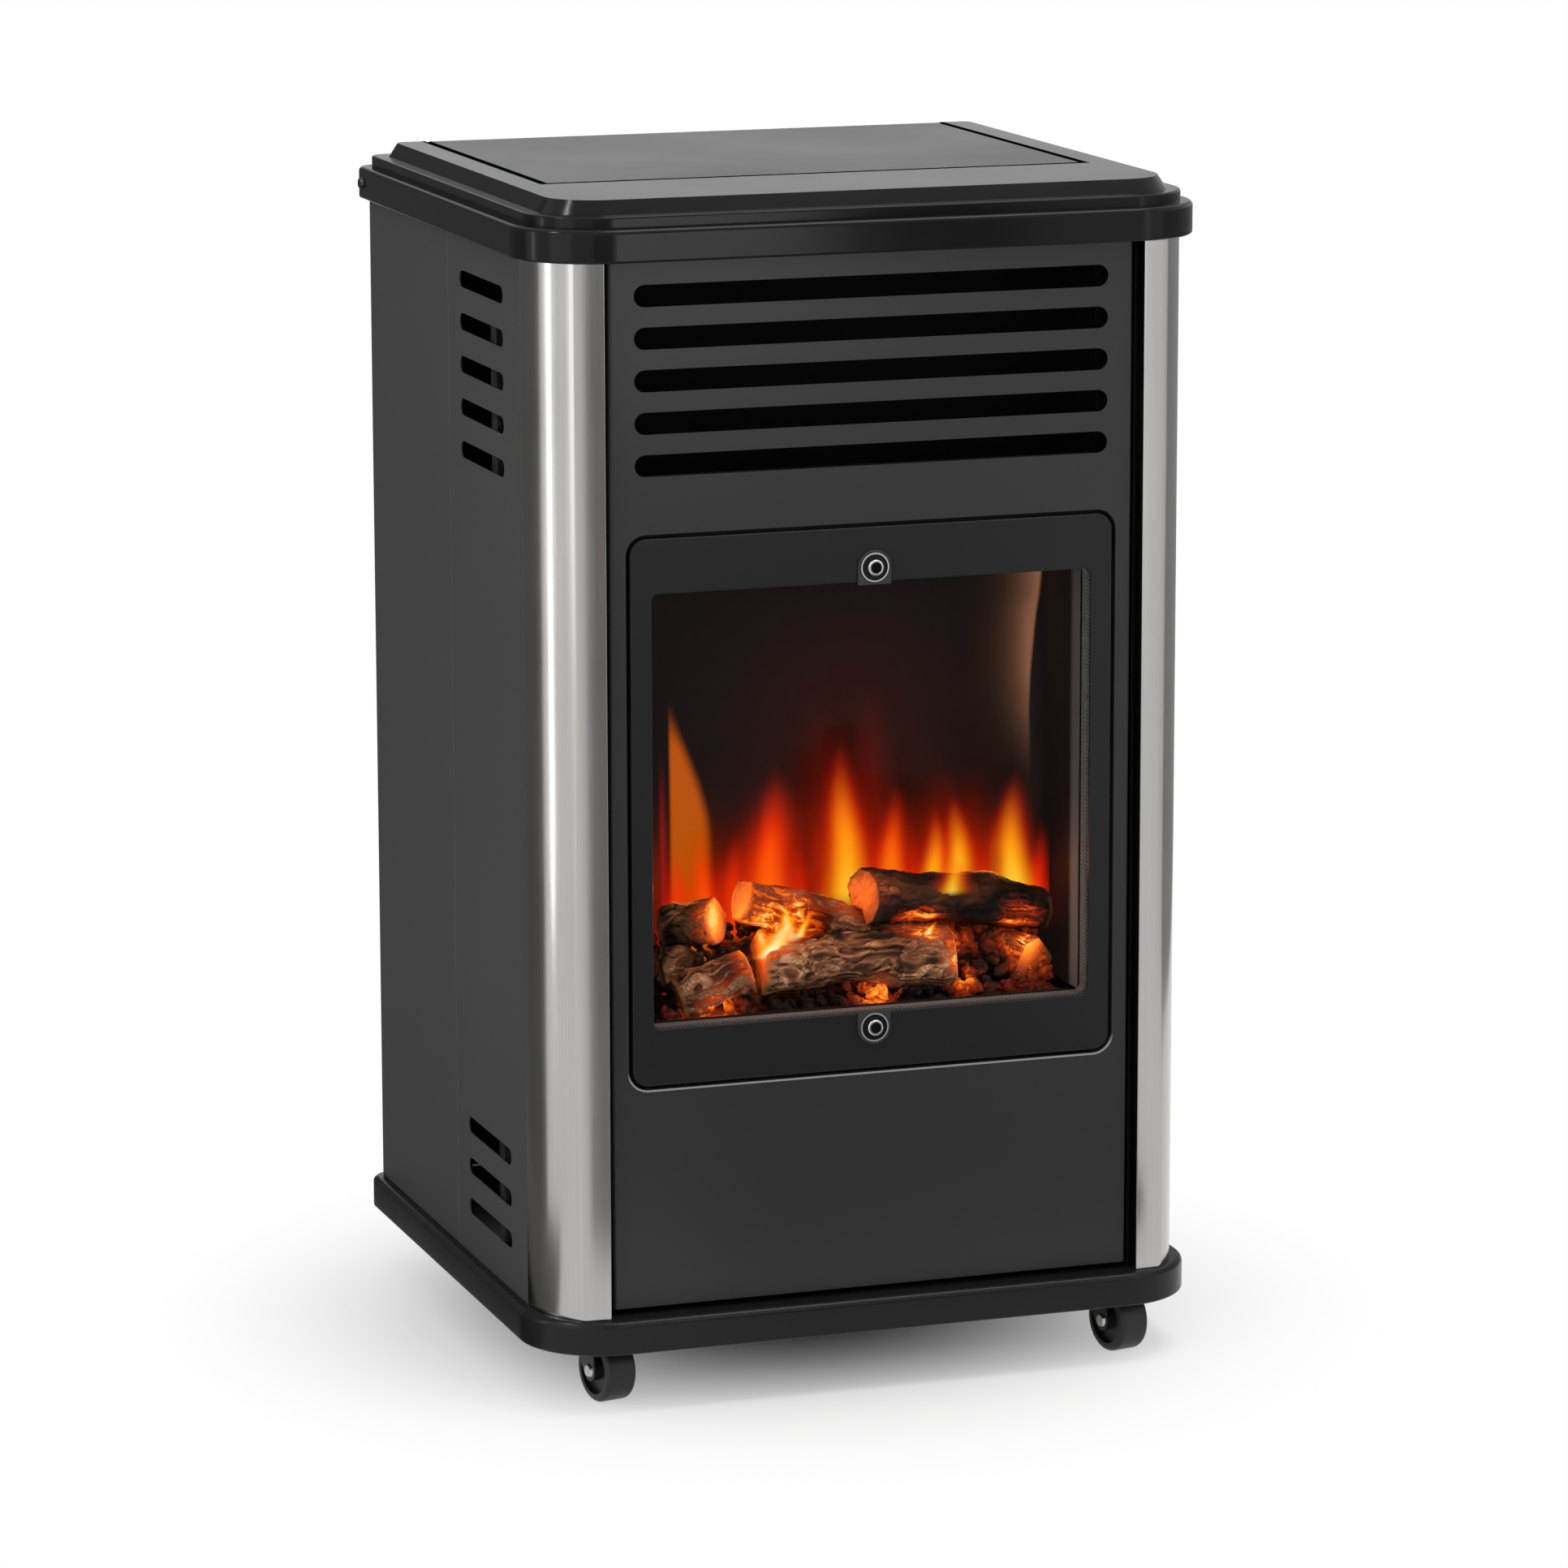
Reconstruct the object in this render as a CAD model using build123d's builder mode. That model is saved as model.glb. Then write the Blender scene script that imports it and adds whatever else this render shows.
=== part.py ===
"""Portable gas cabinet heater: a steel cabinet on castors with a glazed log fire in front,
warm-air slots above it, controls under a flap in the top and room for a gas bottle behind.
Millimetres. X is across the front, Y runs from the front to the back, Z is up from the floor."""

import os
from math import atan2, cos, degrees, pi, radians, sin

from build123d import *

# ---------------------------------------------------------------- cabinet
BODY_WIDTH = 418.0
BODY_DEPTH = 384.0
BODY_HEIGHT = 644.0
SHEET = 1.0
SEAT_GAP = 0.3

# base tray
TRAY_CLEARANCE = 37.0
TRAY_HEIGHT = 21.0
TRAY_OVERHANG = 7.0
TRAY_FRONT_RADIUS = 52.0
TRAY_REAR_RADIUS = 14.0
TRAY_WALL = 4.0
TRAY_DECK = 6.0
TRAY_TOP_ROUND = 4.0
TRAY_FOOT_ROUND = 2.0
TRAY_RIB = 3.0
TRAY_RIB_DEPTH = 6.0
TRAY_RIB_PITCH_X = 92.0
TRAY_RIB_PITCH_Y = 84.0
TRAY_BOSS_RADIUS = 9.5
TRAY_BOSS_RISE = 6.0
BOTTLE_DIAMETER = 256.0
BOTTLE_SEAT_MARGIN = 4.0
BOTTLE_SEAT_DEPTH = 2.5
BOTTLE_Y = 46.0

# castors
CASTER_INSET_X = 41.0
CASTER_INSET_Y = 40.0
CASTER_TURN = 12.0
CASTER_TRAIL = 12.0
WHEEL_RADIUS = 20.0
WHEEL_WIDTH = 20.0
WHEEL_ROUND = 3.0
WHEEL_HUB_RADIUS = 6.5
WHEEL_WEB_RADIUS = 15.0
WHEEL_RECESS = 3.5
WHEEL_GAP = 0.8
HUB_GAP = 0.35
FORK_SHEET = 1.6
FORK_CROWN = 2.8
FORK_CROWN_REAR = 13.0
FORK_CROWN_FRONT = 15.0
FORK_EYE_RADIUS = 6.5
FORK_BEND = 2.0
CROWN_GAP = 1.2
STEM_RADIUS = 4.0
STEM_LENGTH = 17.0
SOCKET_WALL = 1.6
SOCKET_GAP = 0.5
AXLE_RADIUS = 2.5
AXLE_HEAD_RADIUS = 4.2
AXLE_HEAD = 1.6
AXLE_HEAD_TAPER = 25.0
RUNNING_FIT = 0.05

# corner trims
TRIM_FACE_WIDTH = 38.0
TRIM_CREASE_X = 22.0
TRIM_CREASE_Y = 3.0
TRIM_ROUND_X = 8.5
TRIM_ROUND_Y = 19.5
TRIM_SIDE = 50.0
TRIM_LIP = 15.0
TRIM_FLANGE = 10.0

# side panels
SEAM_Y = 200.0
SIDE_FRONT_FLANGE = 12.0
SIDE_REAR_FLANGE = 9.0
LOUVRE_LENGTH = 93.0
LOUVRE_HEIGHT = 10.5
LOUVRE_PITCH = 26.3
LOUVRE_CENTRE_Y = 129.5
LOUVRE_TOP_DROP = 27.5
LOUVRE_FOOT_RISE = 31.5
LOUVRE_TOP_COUNT = 5
LOUVRE_FOOT_COUNT = 3

# front panel
PANEL_RECESS = 8.0
PANEL_SIDE_GAP = 4.5
PANEL_FOOT_GAP = 4.0
PANEL_DEPTH = 13.0
PANEL_ROUND = 2.0
SLOT_LENGTH = 301.0
SLOT_HEIGHT = 13.2
SLOT_PITCH = 25.4
SLOT_TOP_DROP = 21.5
SLOT_COUNT = 5
FRAME_GAP = 2.5
OPENING_RETURN = 6.0

# window
FRAME_WIDTH = 308.0
FRAME_HEIGHT = 335.0
FRAME_RADIUS = 10.0
FRAME_SHEET = 2.0
FRAME_PROUD = 0.5
FRAME_EDGE_ROUND = 0.8
FRAME_DROP = 167.0
VIEW_WIDTH = 281.0
VIEW_HEIGHT = 266.5
VIEW_RISE = 35.0
VIEW_RADIUS = 4.5
GLASS_THICKNESS = 4.0
GLASS_LAP = 5.5
GASKET_SHOW = 0.5
CLIP_WIDTH = 21.0
CLIP_THICKNESS = 1.5
CLIP_LAP = 1.5
CLIP_SCREW_RISE = 9.0
CLIP_RIM_RADIUS = 7.6
CLIP_RIM = 0.8
SCREW_HEAD_RADIUS = 5.0
SCREW_HEAD = 3.0
SCREW_SOCKET = 6.0
SCREW_SOCKET_DEPTH = 1.8
SCREW_SHANK_RADIUS = 2.5

# frame posts
POST_WEB = 16.0
POST_FLANGE = 13.0
POST_TOP_GAP = 0.5

# firebox
FIREBOX_WIDTH = 296.0
FIREBOX_DEPTH = 73.0
FIREBOX_HEIGHT = 356.0
FIREBOX_SILL = 31.0
FIREBOX_FLANGE_LAP = 11.0
FLUE_WIDTH = 260.0
FLUE_DEPTH = 44.0
REFLECTOR_WIDTH = 282.0
REFLECTOR_RADIUS = 16.0
REFLECTOR_SHEET = 0.8
REFLECTOR_RISE = 30.0
REFLECTOR_TOP_GAP = 3.0
REFLECTOR_FRONT_GAP = 4.0
HOOD_WIDTH = 296.0
HOOD_STRAIGHT = 70.0
HOOD_FRONT_FLAT = 24.0
HOOD_TOP_GAP = 5.0
SHIELD_GAP = 6.0
SHIELD_DROP = 44.0
SHIELD_FLANGE = 12.0

# burner, pilot group and fuel bed
BURNER_RADIUS = 10.0
BURNER_LENGTH = 262.0
BURNER_SHIFT = -8.0
BURNER_Y = 52.0
BURNER_NECK_RADIUS = 7.0
BURNER_NECK = 24.0
BURNER_CONE = 8.0
BURNER_PORT = 2.2
BURNER_PORT_LENGTH = 9.0
BURNER_PORT_COUNT = 17
BURNER_PORT_PITCH = 14.0
AIR_HOLE_RADIUS = 2.5
INJECTOR_LENGTH = 10.0
PILOT_X = 100.0
PILOT_Y = 70.0
PILOT_SPACING = 13.0
PILOT_BLOCK = 8.0
PILOT_TIP_RADIUS = 3.0
PILOT_TIP = 5.0
THERMOCOUPLE_FOOT = (3.5, 6.0)
THERMOCOUPLE_TIP = (2.0, 12.0)
ELECTRODE_FOOT = (3.0, 11.0)
ELECTRODE_TIP = (1.0, 8.0)
FUEL_TRAY_WIDTH = 268.0
FUEL_TRAY_DEPTH = 62.0
FUEL_TRAY_RISE = 22.0
FUEL_TRAY_LIP = 9.0
FUEL_SLOT_LENGTH = 26.0
FUEL_SLOT_WIDTH = 5.0
FUEL_SLOT_COUNT = 7
EMBER_BED_HEIGHT = 7.0
EMBER_COUNT = 15
EMBER_SIZE = 15.0
EMBER_MARGIN = 16.0
EMBER_SINK = 1.0

# logs: start and end (across, back from the fuel tray's front, up from the bed), radius at each
LOG_FRONT = ((62.0, 22.0, 21.0), (-62.0, 22.0, 27.0), (20.5, 18.9))
LOG_LEFT = ((-70.0, 17.0, 25.0), (-116.0, 17.0, 11.0), (13.0, 12.2))
LOG_STUB = ((-107.0, 26.0, 24.0), (-114.0, 48.0, 24.0), (16.5, 14.9))
LOG_RIGHT = ((118.0, 19.0, 15.0), (104.0, 50.0, 20.0), (15.0, 13.5))
LOG_BACK = ((-87.0, 23.0, 56.0), (-114.0, 46.0, 50.0), (13.2, 12.4))
LOG_BRANCH = ((6.0, 30.0, 40.0), (-72.0, 24.0, 69.0), (17.0, 14.0))
LOG_TOP = ((7.0, 22.0, 63.0), (132.0, 42.0, 44.0), (18.0, 15.0))
LOG_FACETS = 9
LOG_RINGS = 5
LOG_BOW = 0.03

# gas train
VALVE_X = -70.0
VALVE_INSET = 97.0
VALVE_WIDTH = 46.0
VALVE_DEPTH = 40.0
VALVE_HEIGHT = 30.0
PLUG_RADIUS = 8.0
PLUG_HEIGHT = 19.7
SPINDLE_RADIUS = 4.0
SPINDLE_FLAT = 3.0
SPINDLE_HOLE_GAP = 1.0
MAGNET_RADIUS = 8.0
MAGNET_LENGTH = 26.0
PIPE_RADIUS = 4.0
PIPE_BEND = 12.0
PIPE_INSET = 16.0
PILOT_PIPE_RADIUS = 2.0
PILOT_PIPE_BEND = 9.0
PILOT_PIPE_INSET = 26.0
PILOT_PIPE_RISE = 8.0
NOZZLE_RADIUS = 4.0
NOZZLE_BARB_RADIUS = 4.9
NOZZLE_LENGTH = 30.0
NOZZLE_BARB = 3.75
NOZZLE_BARB_PITCH = 7.5
NOZZLE_BARB_COUNT = 3
NOZZLE_TIP = 4.5
NOZZLE_NUT_RADIUS = 7.5
NOZZLE_NUT = 9.0

# top cover
RIM_HEIGHT = 20.0
RIM_OVERHANG = 7.0
RIM_FRONT_RADIUS = 52.0
RIM_REAR_RADIUS = 14.0
RIM_TOP_ROUND = 3.0
RIM_FOOT_ROUND = 1.5
LEDGE_HEIGHT = 7.0
LEDGE_INSET = 7.5
LEDGE_ROUND = 1.5
PLATFORM_HEIGHT = 8.5
PLATFORM_INSET = 16.0
PLATFORM_SLOPE = 5.5
PLATFORM_REAR_RADIUS = 12.0
COVER_WALL = 3.0
COVER_LIP = 2.5
COVER_LIP_WIDTH = 6.0

# lid, its seat and the control well
LID_WIDTH = 346.0
LID_FRONT_Y = 111.0
LID_THICKNESS = 3.0
LID_GAP = 1.6
LID_BARREL_RADIUS = 3.0
LID_RIB = 2.0
LID_RIB_DEPTH = 3.0
LID_RIB_GAP = 2.5
LID_PIN_RADIUS = 1.5
LID_PIN_LENGTH = 16.0
LID_PIN_GRIP = 7.0
LID_SEAT_WIDTH = 8.0
WELL_WALL = 2.5
WELL_DEPTH = 34.0
WELL_REAR_GAP = 14.0
PIN_BOSS = 12.0

# controls
PLATE_WIDTH = 290.0
PLATE_DEPTH = 96.0
PLATE_SHEET = 1.2
PLATE_RADIUS = 6.0
KNOB_RADIUS = 20.0
KNOB_SKIRT = 9.0
KNOB_HEIGHT = 20.0
KNOB_TRAVEL = 4.0
KNOB_LIFT = 0.8
KNOB_GRIP_WIDTH = 11.0
KNOB_FLUTES = 18
KNOB_FLUTE_RADIUS = 1.3
IGNITER_X = 70.0
IGNITER_RADIUS = 9.0
IGNITER_LENGTH = 44.0
IGNITER_BEZEL_RADIUS = 12.0
IGNITER_BEZEL = 2.5
BUTTON_RADIUS = 6.0
BUTTON_PROUD = 7.5
BUTTON_TRAVEL = 6.0
BUTTON_LENGTH = 16.0
BUTTON_FIT = 0.1

# rear cover
COVER_GAP = 0.5
REAR_ROUND = 5.0
REAR_FLANGE = 8.0
REAR_VENT_LENGTH = 150.0
REAR_VENT_HEIGHT = 8.0
REAR_VENT_PITCH = 20.0
REAR_VENT_COUNT = 6
REAR_VENT_TOP_DROP = 190.0
REAR_VENT_FOOT_RISE = 60.0
GRIP_WIDTH = 110.0
GRIP_HEIGHT = 24.0
GRIP_DROP = 50.0

# screws in the rim
RIM_SCREW_INSET = 12.0
RIM_SCREW_HEAD_RADIUS = 4.0
RIM_SCREW_HEAD = 2.0
RIM_SCREW_RADIUS = 2.0
RIM_SCREW_TAPER = 30.0

# ---------------------------------------------------------------- places worked out from the sizes
SIDE_X = BODY_WIDTH / 2
FRONT_Y = -BODY_DEPTH / 2
REAR_Y = BODY_DEPTH / 2
TRAY_Z = TRAY_CLEARANCE
BODY_Z = TRAY_Z + TRAY_HEIGHT
RIM_Z = BODY_Z + BODY_HEIGHT
LEDGE_Z = RIM_Z + RIM_HEIGHT
PLATFORM_Z = LEDGE_Z + LEDGE_HEIGHT
TOP_Z = PLATFORM_Z + PLATFORM_HEIGHT

TRIM_EDGE_X = SIDE_X - TRIM_FACE_WIDTH
TRIM_END_Y = FRONT_Y + TRIM_SIDE
PANEL_X = TRIM_EDGE_X - PANEL_SIDE_GAP
PANEL_Y = FRONT_Y + PANEL_RECESS
PANEL_BACK_Y = PANEL_Y + PANEL_DEPTH
POST_Y = PANEL_BACK_Y + SHEET
SIDE_END_Y = FRONT_Y + SEAM_Y

FRAME_Z = RIM_Z - FRAME_DROP - FRAME_HEIGHT / 2
VIEW_FOOT_Z = FRAME_Z - FRAME_HEIGHT / 2 + VIEW_RISE
VIEW_Z = VIEW_FOOT_Z + VIEW_HEIGHT / 2
FRAME_FRONT_Y = PANEL_Y - FRAME_PROUD
GLASS_Y = FRAME_FRONT_Y + FRAME_SHEET
GLASS_BACK_Y = GLASS_Y + GLASS_THICKNESS

FIREBOX_Z = VIEW_FOOT_Z - FIREBOX_SILL
FIREBOX_FLOOR_Z = FIREBOX_Z + SHEET
FIREBOX_TOP_Z = FIREBOX_Z + FIREBOX_HEIGHT
FIREBOX_BACK_Y = POST_Y + FIREBOX_DEPTH
BURNER_Z = FIREBOX_FLOOR_Z + BURNER_RADIUS + SEAT_GAP
BURNER_LINE_Y = FRONT_Y + BURNER_Y
SHIELD_Y = FIREBOX_BACK_Y + SHIELD_GAP

WELL_FLOOR_Z = TOP_Z - LID_THICKNESS - WELL_DEPTH
LID_Z = TOP_Z - LID_THICKNESS
LID_SEAT_Z = LID_Z - SEAT_GAP
LID_EDGE_Y = FRONT_Y + LID_FRONT_Y
HINGE_Y = REAR_Y + RIM_OVERHANG - PLATFORM_INSET - PLATFORM_SLOPE - LID_BARREL_RADIUS
HINGE_Z = TOP_Z - LID_BARREL_RADIUS
WELL_X = LID_WIDTH / 2 - LID_SEAT_WIDTH
WELL_FRONT_Y = LID_EDGE_Y + LID_SEAT_WIDTH
WELL_REAR_Y = HINGE_Y - WELL_REAR_GAP

VALVE_LINE_Y = REAR_Y - VALVE_INSET
VALVE_TOP_Z = WELL_FLOOR_Z - WELL_WALL
PIPE_X = -SIDE_X + PIPE_INSET
PILOT_PIPE_X = -SIDE_X + PILOT_PIPE_INSET
PIPE_VALVE_Z = VALVE_TOP_Z - VALVE_HEIGHT / 2
PILOT_VALVE_Z = VALVE_TOP_Z - VALVE_HEIGHT + 2 * PILOT_PIPE_RADIUS
PILOT_VALVE_Y = VALVE_LINE_Y + VALVE_DEPTH / 2 - 3 * PILOT_PIPE_RADIUS
PILOT_LINE_Y = FRONT_Y + PILOT_Y
PILOT_PIPE_Z = FIREBOX_FLOOR_Z + PILOT_PIPE_RISE

AXLE_Z = WHEEL_RADIUS
CROWN_FOOT_Z = 2 * WHEEL_RADIUS + CROWN_GAP
CROWN_TOP_Z = CROWN_FOOT_Z + FORK_CROWN
CASTER_X = SIDE_X - CASTER_INSET_X
CASTER_Y = REAR_Y - CASTER_INSET_Y
SOCKET_RADIUS = STEM_RADIUS + RUNNING_FIT + SOCKET_WALL
SOCKET_TOP_Z = CROWN_TOP_Z + STEM_LENGTH + SOCKET_GAP


def finish(builder, name):
    """Names a finished piece and writes it out."""
    builder.part.label = name
    export_step(builder.part, f"parts/{name}.step")


def plan_outline(grow, front_radius, rear_radius):
    """Cabinet outline from above, grown by a margin, in the sketch that is open."""
    Rectangle(BODY_WIDTH + 2 * grow, BODY_DEPTH + 2 * grow)
    fillet(vertices().group_by(Axis.Y)[0], radius=front_radius)
    fillet(vertices().group_by(Axis.Y)[-1], radius=rear_radius)


def span(x0, x1, y0, y1):
    """Rectangle between two corners, in the sketch that is open."""
    with Locations(((x0 + x1) / 2, (y0 + y1) / 2)):
        Rectangle(abs(x1 - x0), abs(y1 - y0))


def block(x0, x1, y0, y1, z0, z1, mode=Mode.ADD):
    """Box between two corners, in the part that is open."""
    with Locations(((x0 + x1) / 2, (y0 + y1) / 2, (z0 + z1) / 2)):
        Box(abs(x1 - x0), abs(y1 - y0), abs(z1 - z0), mode=mode)


def front_plane(y):
    """Plane that looks back into the cabinet: its x is the cabinet's X, its y is Z."""
    return Plane(origin=(0, y, 0), x_dir=(1, 0, 0), z_dir=(0, -1, 0))


def side_plane(x):
    """Plane across the cabinet: its x is the cabinet's Y, its y is Z."""
    return Plane(origin=(x, 0, 0), x_dir=(0, 1, 0), z_dir=(1, 0, 0))


def write_mirrored(builder, name):
    """Writes the right-hand twin of a left-hand piece."""
    with BuildPart() as twin:
        mirror(builder.part, about=Plane.YZ)
    finish(twin, name)


os.makedirs("parts", exist_ok=True)

# ---------------------------------------------------------------- base tray
CASTER_PLACES = {
    "front_left": (-CASTER_X, -CASTER_Y),
    "front_right": (CASTER_X, -CASTER_Y),
    "rear_left": (-CASTER_X, CASTER_Y),
    "rear_right": (CASTER_X, CASTER_Y),
}
DECK_Z = BODY_Z - TRAY_DECK
BOSS_FOOT_Z = CROWN_TOP_Z + SOCKET_GAP

with BuildPart() as base_tray:
    with BuildSketch(Plane.XY.offset(TRAY_Z)):
        plan_outline(TRAY_OVERHANG, TRAY_FRONT_RADIUS, TRAY_REAR_RADIUS)
    extrude(amount=TRAY_HEIGHT)
    fillet(base_tray.edges().group_by(Axis.Z)[-1], radius=TRAY_TOP_ROUND)
    fillet(base_tray.edges().group_by(Axis.Z)[0], radius=TRAY_FOOT_ROUND)
    with BuildSketch(Plane.XY.offset(TRAY_Z)):
        plan_outline(TRAY_OVERHANG - TRAY_WALL, TRAY_FRONT_RADIUS - TRAY_WALL, TRAY_REAR_RADIUS - TRAY_WALL)
    extrude(amount=TRAY_HEIGHT - TRAY_DECK, mode=Mode.SUBTRACT)
    inner_width = BODY_WIDTH + 2 * (TRAY_OVERHANG - TRAY_WALL)
    inner_depth = BODY_DEPTH + 2 * (TRAY_OVERHANG - TRAY_WALL)
    for line in (-1.5, -0.5, 0.5, 1.5):
        rib_x = line * TRAY_RIB_PITCH_X
        rib_y = line * TRAY_RIB_PITCH_Y
        block(rib_x - TRAY_RIB / 2, rib_x + TRAY_RIB / 2, -inner_depth / 2, inner_depth / 2,
              DECK_Z - TRAY_RIB_DEPTH, DECK_Z)
        block(-inner_width / 2, inner_width / 2, rib_y - TRAY_RIB / 2, rib_y + TRAY_RIB / 2,
              DECK_Z - TRAY_RIB_DEPTH, DECK_Z)
    with BuildSketch(Plane.XY.offset(BOSS_FOOT_Z)):
        with Locations(*CASTER_PLACES.values()):
            Circle(TRAY_BOSS_RADIUS)
    extrude(amount=BODY_Z + TRAY_BOSS_RISE - BOSS_FOOT_Z)
    with BuildSketch(Plane.XY.offset(BOSS_FOOT_Z)):
        with Locations(*CASTER_PLACES.values()):
            Circle(SOCKET_RADIUS)
    extrude(amount=SOCKET_TOP_Z - BOSS_FOOT_Z, mode=Mode.SUBTRACT)
    with BuildSketch(Plane.XY.offset(BODY_Z)):
        with Locations((0, BOTTLE_Y)):
            Circle(BOTTLE_DIAMETER / 2 + BOTTLE_SEAT_MARGIN)
    extrude(amount=-BOTTLE_SEAT_DEPTH, mode=Mode.SUBTRACT)
finish(base_tray, "base_tray")

with BuildPart() as caster_sockets:
    with BuildSketch(Plane.XY.offset(BOSS_FOOT_Z)):
        with Locations(*CASTER_PLACES.values()):
            Circle(SOCKET_RADIUS)
            Circle(STEM_RADIUS + RUNNING_FIT, mode=Mode.SUBTRACT)
    extrude(amount=SOCKET_TOP_Z - BOSS_FOOT_Z)
finish(caster_sockets, "caster_sockets")

# ---------------------------------------------------------------- castors
FORK_INNER = WHEEL_WIDTH / 2 + WHEEL_GAP
FORK_OUTER = FORK_INNER + FORK_SHEET
TURN = radians(CASTER_TURN)
AXLE_DIR = (cos(TURN), sin(TURN), 0)


def caster(place, stem_x, stem_y):
    """Swivel fork, wheel and axle at one corner. The wheel trails towards the front of the cabinet."""
    swivel = Plane(origin=(stem_x, stem_y, 0), x_dir=AXLE_DIR, z_dir=(0, 0, 1))
    hub_centre = swivel.from_local_coords((0, -CASTER_TRAIL, AXLE_Z))
    hub = Plane(origin=hub_centre, x_dir=(0, 0, 1), z_dir=AXLE_DIR)
    cheek = Plane(origin=swivel.origin, x_dir=swivel.y_dir, z_dir=AXLE_DIR)

    with BuildPart() as fork:
        with BuildSketch(cheek.offset(-FORK_OUTER)):
            with Locations((-CASTER_TRAIL, AXLE_Z)):
                Circle(FORK_EYE_RADIUS)
            span(-FORK_CROWN_FRONT, FORK_CROWN_REAR, CROWN_FOOT_Z, CROWN_TOP_Z)
            make_hull()
        extrude(amount=2 * FORK_OUTER)
        crown_edges = fork.edges().group_by(Axis.Z)[-1].filter_by(Axis(swivel.origin, swivel.y_dir))
        fillet(crown_edges, radius=FORK_BEND)
        with BuildSketch(cheek.offset(-FORK_INNER)):
            span(-3 * WHEEL_RADIUS, 3 * WHEEL_RADIUS, -WHEEL_RADIUS, CROWN_FOOT_Z)
        extrude(amount=2 * FORK_INNER, mode=Mode.SUBTRACT)
        with BuildSketch(hub.offset(-FORK_OUTER)):
            Circle(AXLE_RADIUS)
        extrude(amount=2 * FORK_OUTER, mode=Mode.SUBTRACT)
        with BuildSketch(swivel.offset(CROWN_TOP_Z)):
            Circle(STEM_RADIUS)
        extrude(amount=STEM_LENGTH)
    finish(fork, f"caster_fork_{place}")

    with BuildPart() as wheel:
        with BuildSketch(hub.offset(-WHEEL_WIDTH / 2)):
            Circle(WHEEL_RADIUS)
        extrude(amount=WHEEL_WIDTH)
        fillet(wheel.edges().filter_by(GeomType.CIRCLE), radius=WHEEL_ROUND)
        for face_plane, way in ((hub.offset(-WHEEL_WIDTH / 2), 1), (hub.offset(WHEEL_WIDTH / 2), -1)):
            with BuildSketch(face_plane):
                Circle(WHEEL_WEB_RADIUS)
                Circle(WHEEL_HUB_RADIUS, mode=Mode.SUBTRACT)
            extrude(amount=way * WHEEL_RECESS, mode=Mode.SUBTRACT)
        with BuildSketch(hub.offset(-FORK_INNER + HUB_GAP)):
            Circle(WHEEL_HUB_RADIUS)
        extrude(amount=2 * (FORK_INNER - HUB_GAP))
        with BuildSketch(hub.offset(-FORK_INNER)):
            Circle(AXLE_RADIUS + RUNNING_FIT)
        extrude(amount=2 * FORK_INNER, mode=Mode.SUBTRACT)
    finish(wheel, f"caster_wheel_{place}")

    with BuildPart() as axle:
        with BuildSketch(hub.offset(-FORK_OUTER)):
            Circle(AXLE_RADIUS)
        extrude(amount=2 * FORK_OUTER)
        for end_plane, way in ((hub.offset(-FORK_OUTER), -1), (hub.offset(FORK_OUTER), 1)):
            with BuildSketch(end_plane):
                Circle(AXLE_HEAD_RADIUS)
            extrude(amount=way * AXLE_HEAD, taper=AXLE_HEAD_TAPER)
    finish(axle, f"caster_axle_{place}")


for caster_place, (caster_x, caster_y) in CASTER_PLACES.items():
    caster(caster_place, caster_x, caster_y)

# ---------------------------------------------------------------- frame posts
with BuildPart() as frame_post_left:
    with BuildSketch(Plane.XY.offset(BODY_Z)):
        span(-TRIM_EDGE_X, -TRIM_EDGE_X + SHEET, POST_Y - PANEL_RECESS, POST_Y - PANEL_RECESS + POST_WEB)
        span(-TRIM_EDGE_X, -TRIM_EDGE_X + SHEET + POST_FLANGE, POST_Y, POST_Y + SHEET)
    extrude(amount=BODY_HEIGHT - POST_TOP_GAP)
finish(frame_post_left, "frame_post_left")
write_mirrored(frame_post_left, "frame_post_right")

# ---------------------------------------------------------------- corner trims
with BuildPart() as corner_trim_left:
    with BuildSketch(Plane.XY.offset(BODY_Z)):
        with BuildLine():
            Line((-SIDE_X + TRIM_FLANGE, TRIM_END_Y), (-SIDE_X, TRIM_END_Y))
            ThreePointArc(
                (-SIDE_X, TRIM_END_Y),
                (-SIDE_X + TRIM_ROUND_X, FRONT_Y + TRIM_ROUND_Y),
                (-SIDE_X + TRIM_CREASE_X, FRONT_Y + TRIM_CREASE_Y),
            )
            Line((-SIDE_X + TRIM_CREASE_X, FRONT_Y + TRIM_CREASE_Y), (-TRIM_EDGE_X, FRONT_Y))
            Line((-TRIM_EDGE_X, FRONT_Y), (-TRIM_EDGE_X, FRONT_Y + TRIM_LIP))
            offset(amount=SHEET, side=Side.LEFT)
        make_face()
    extrude(amount=BODY_HEIGHT)
finish(corner_trim_left, "corner_trim_left")
write_mirrored(corner_trim_left, "corner_trim_right")

# ---------------------------------------------------------------- side panels
LOUVRE_Y = FRONT_Y + LOUVRE_CENTRE_Y
LOUVRE_HEIGHTS = [RIM_Z - LOUVRE_TOP_DROP - i * LOUVRE_PITCH for i in range(LOUVRE_TOP_COUNT)]
LOUVRE_HEIGHTS += [BODY_Z + LOUVRE_FOOT_RISE + i * LOUVRE_PITCH for i in range(LOUVRE_FOOT_COUNT)]

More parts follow.
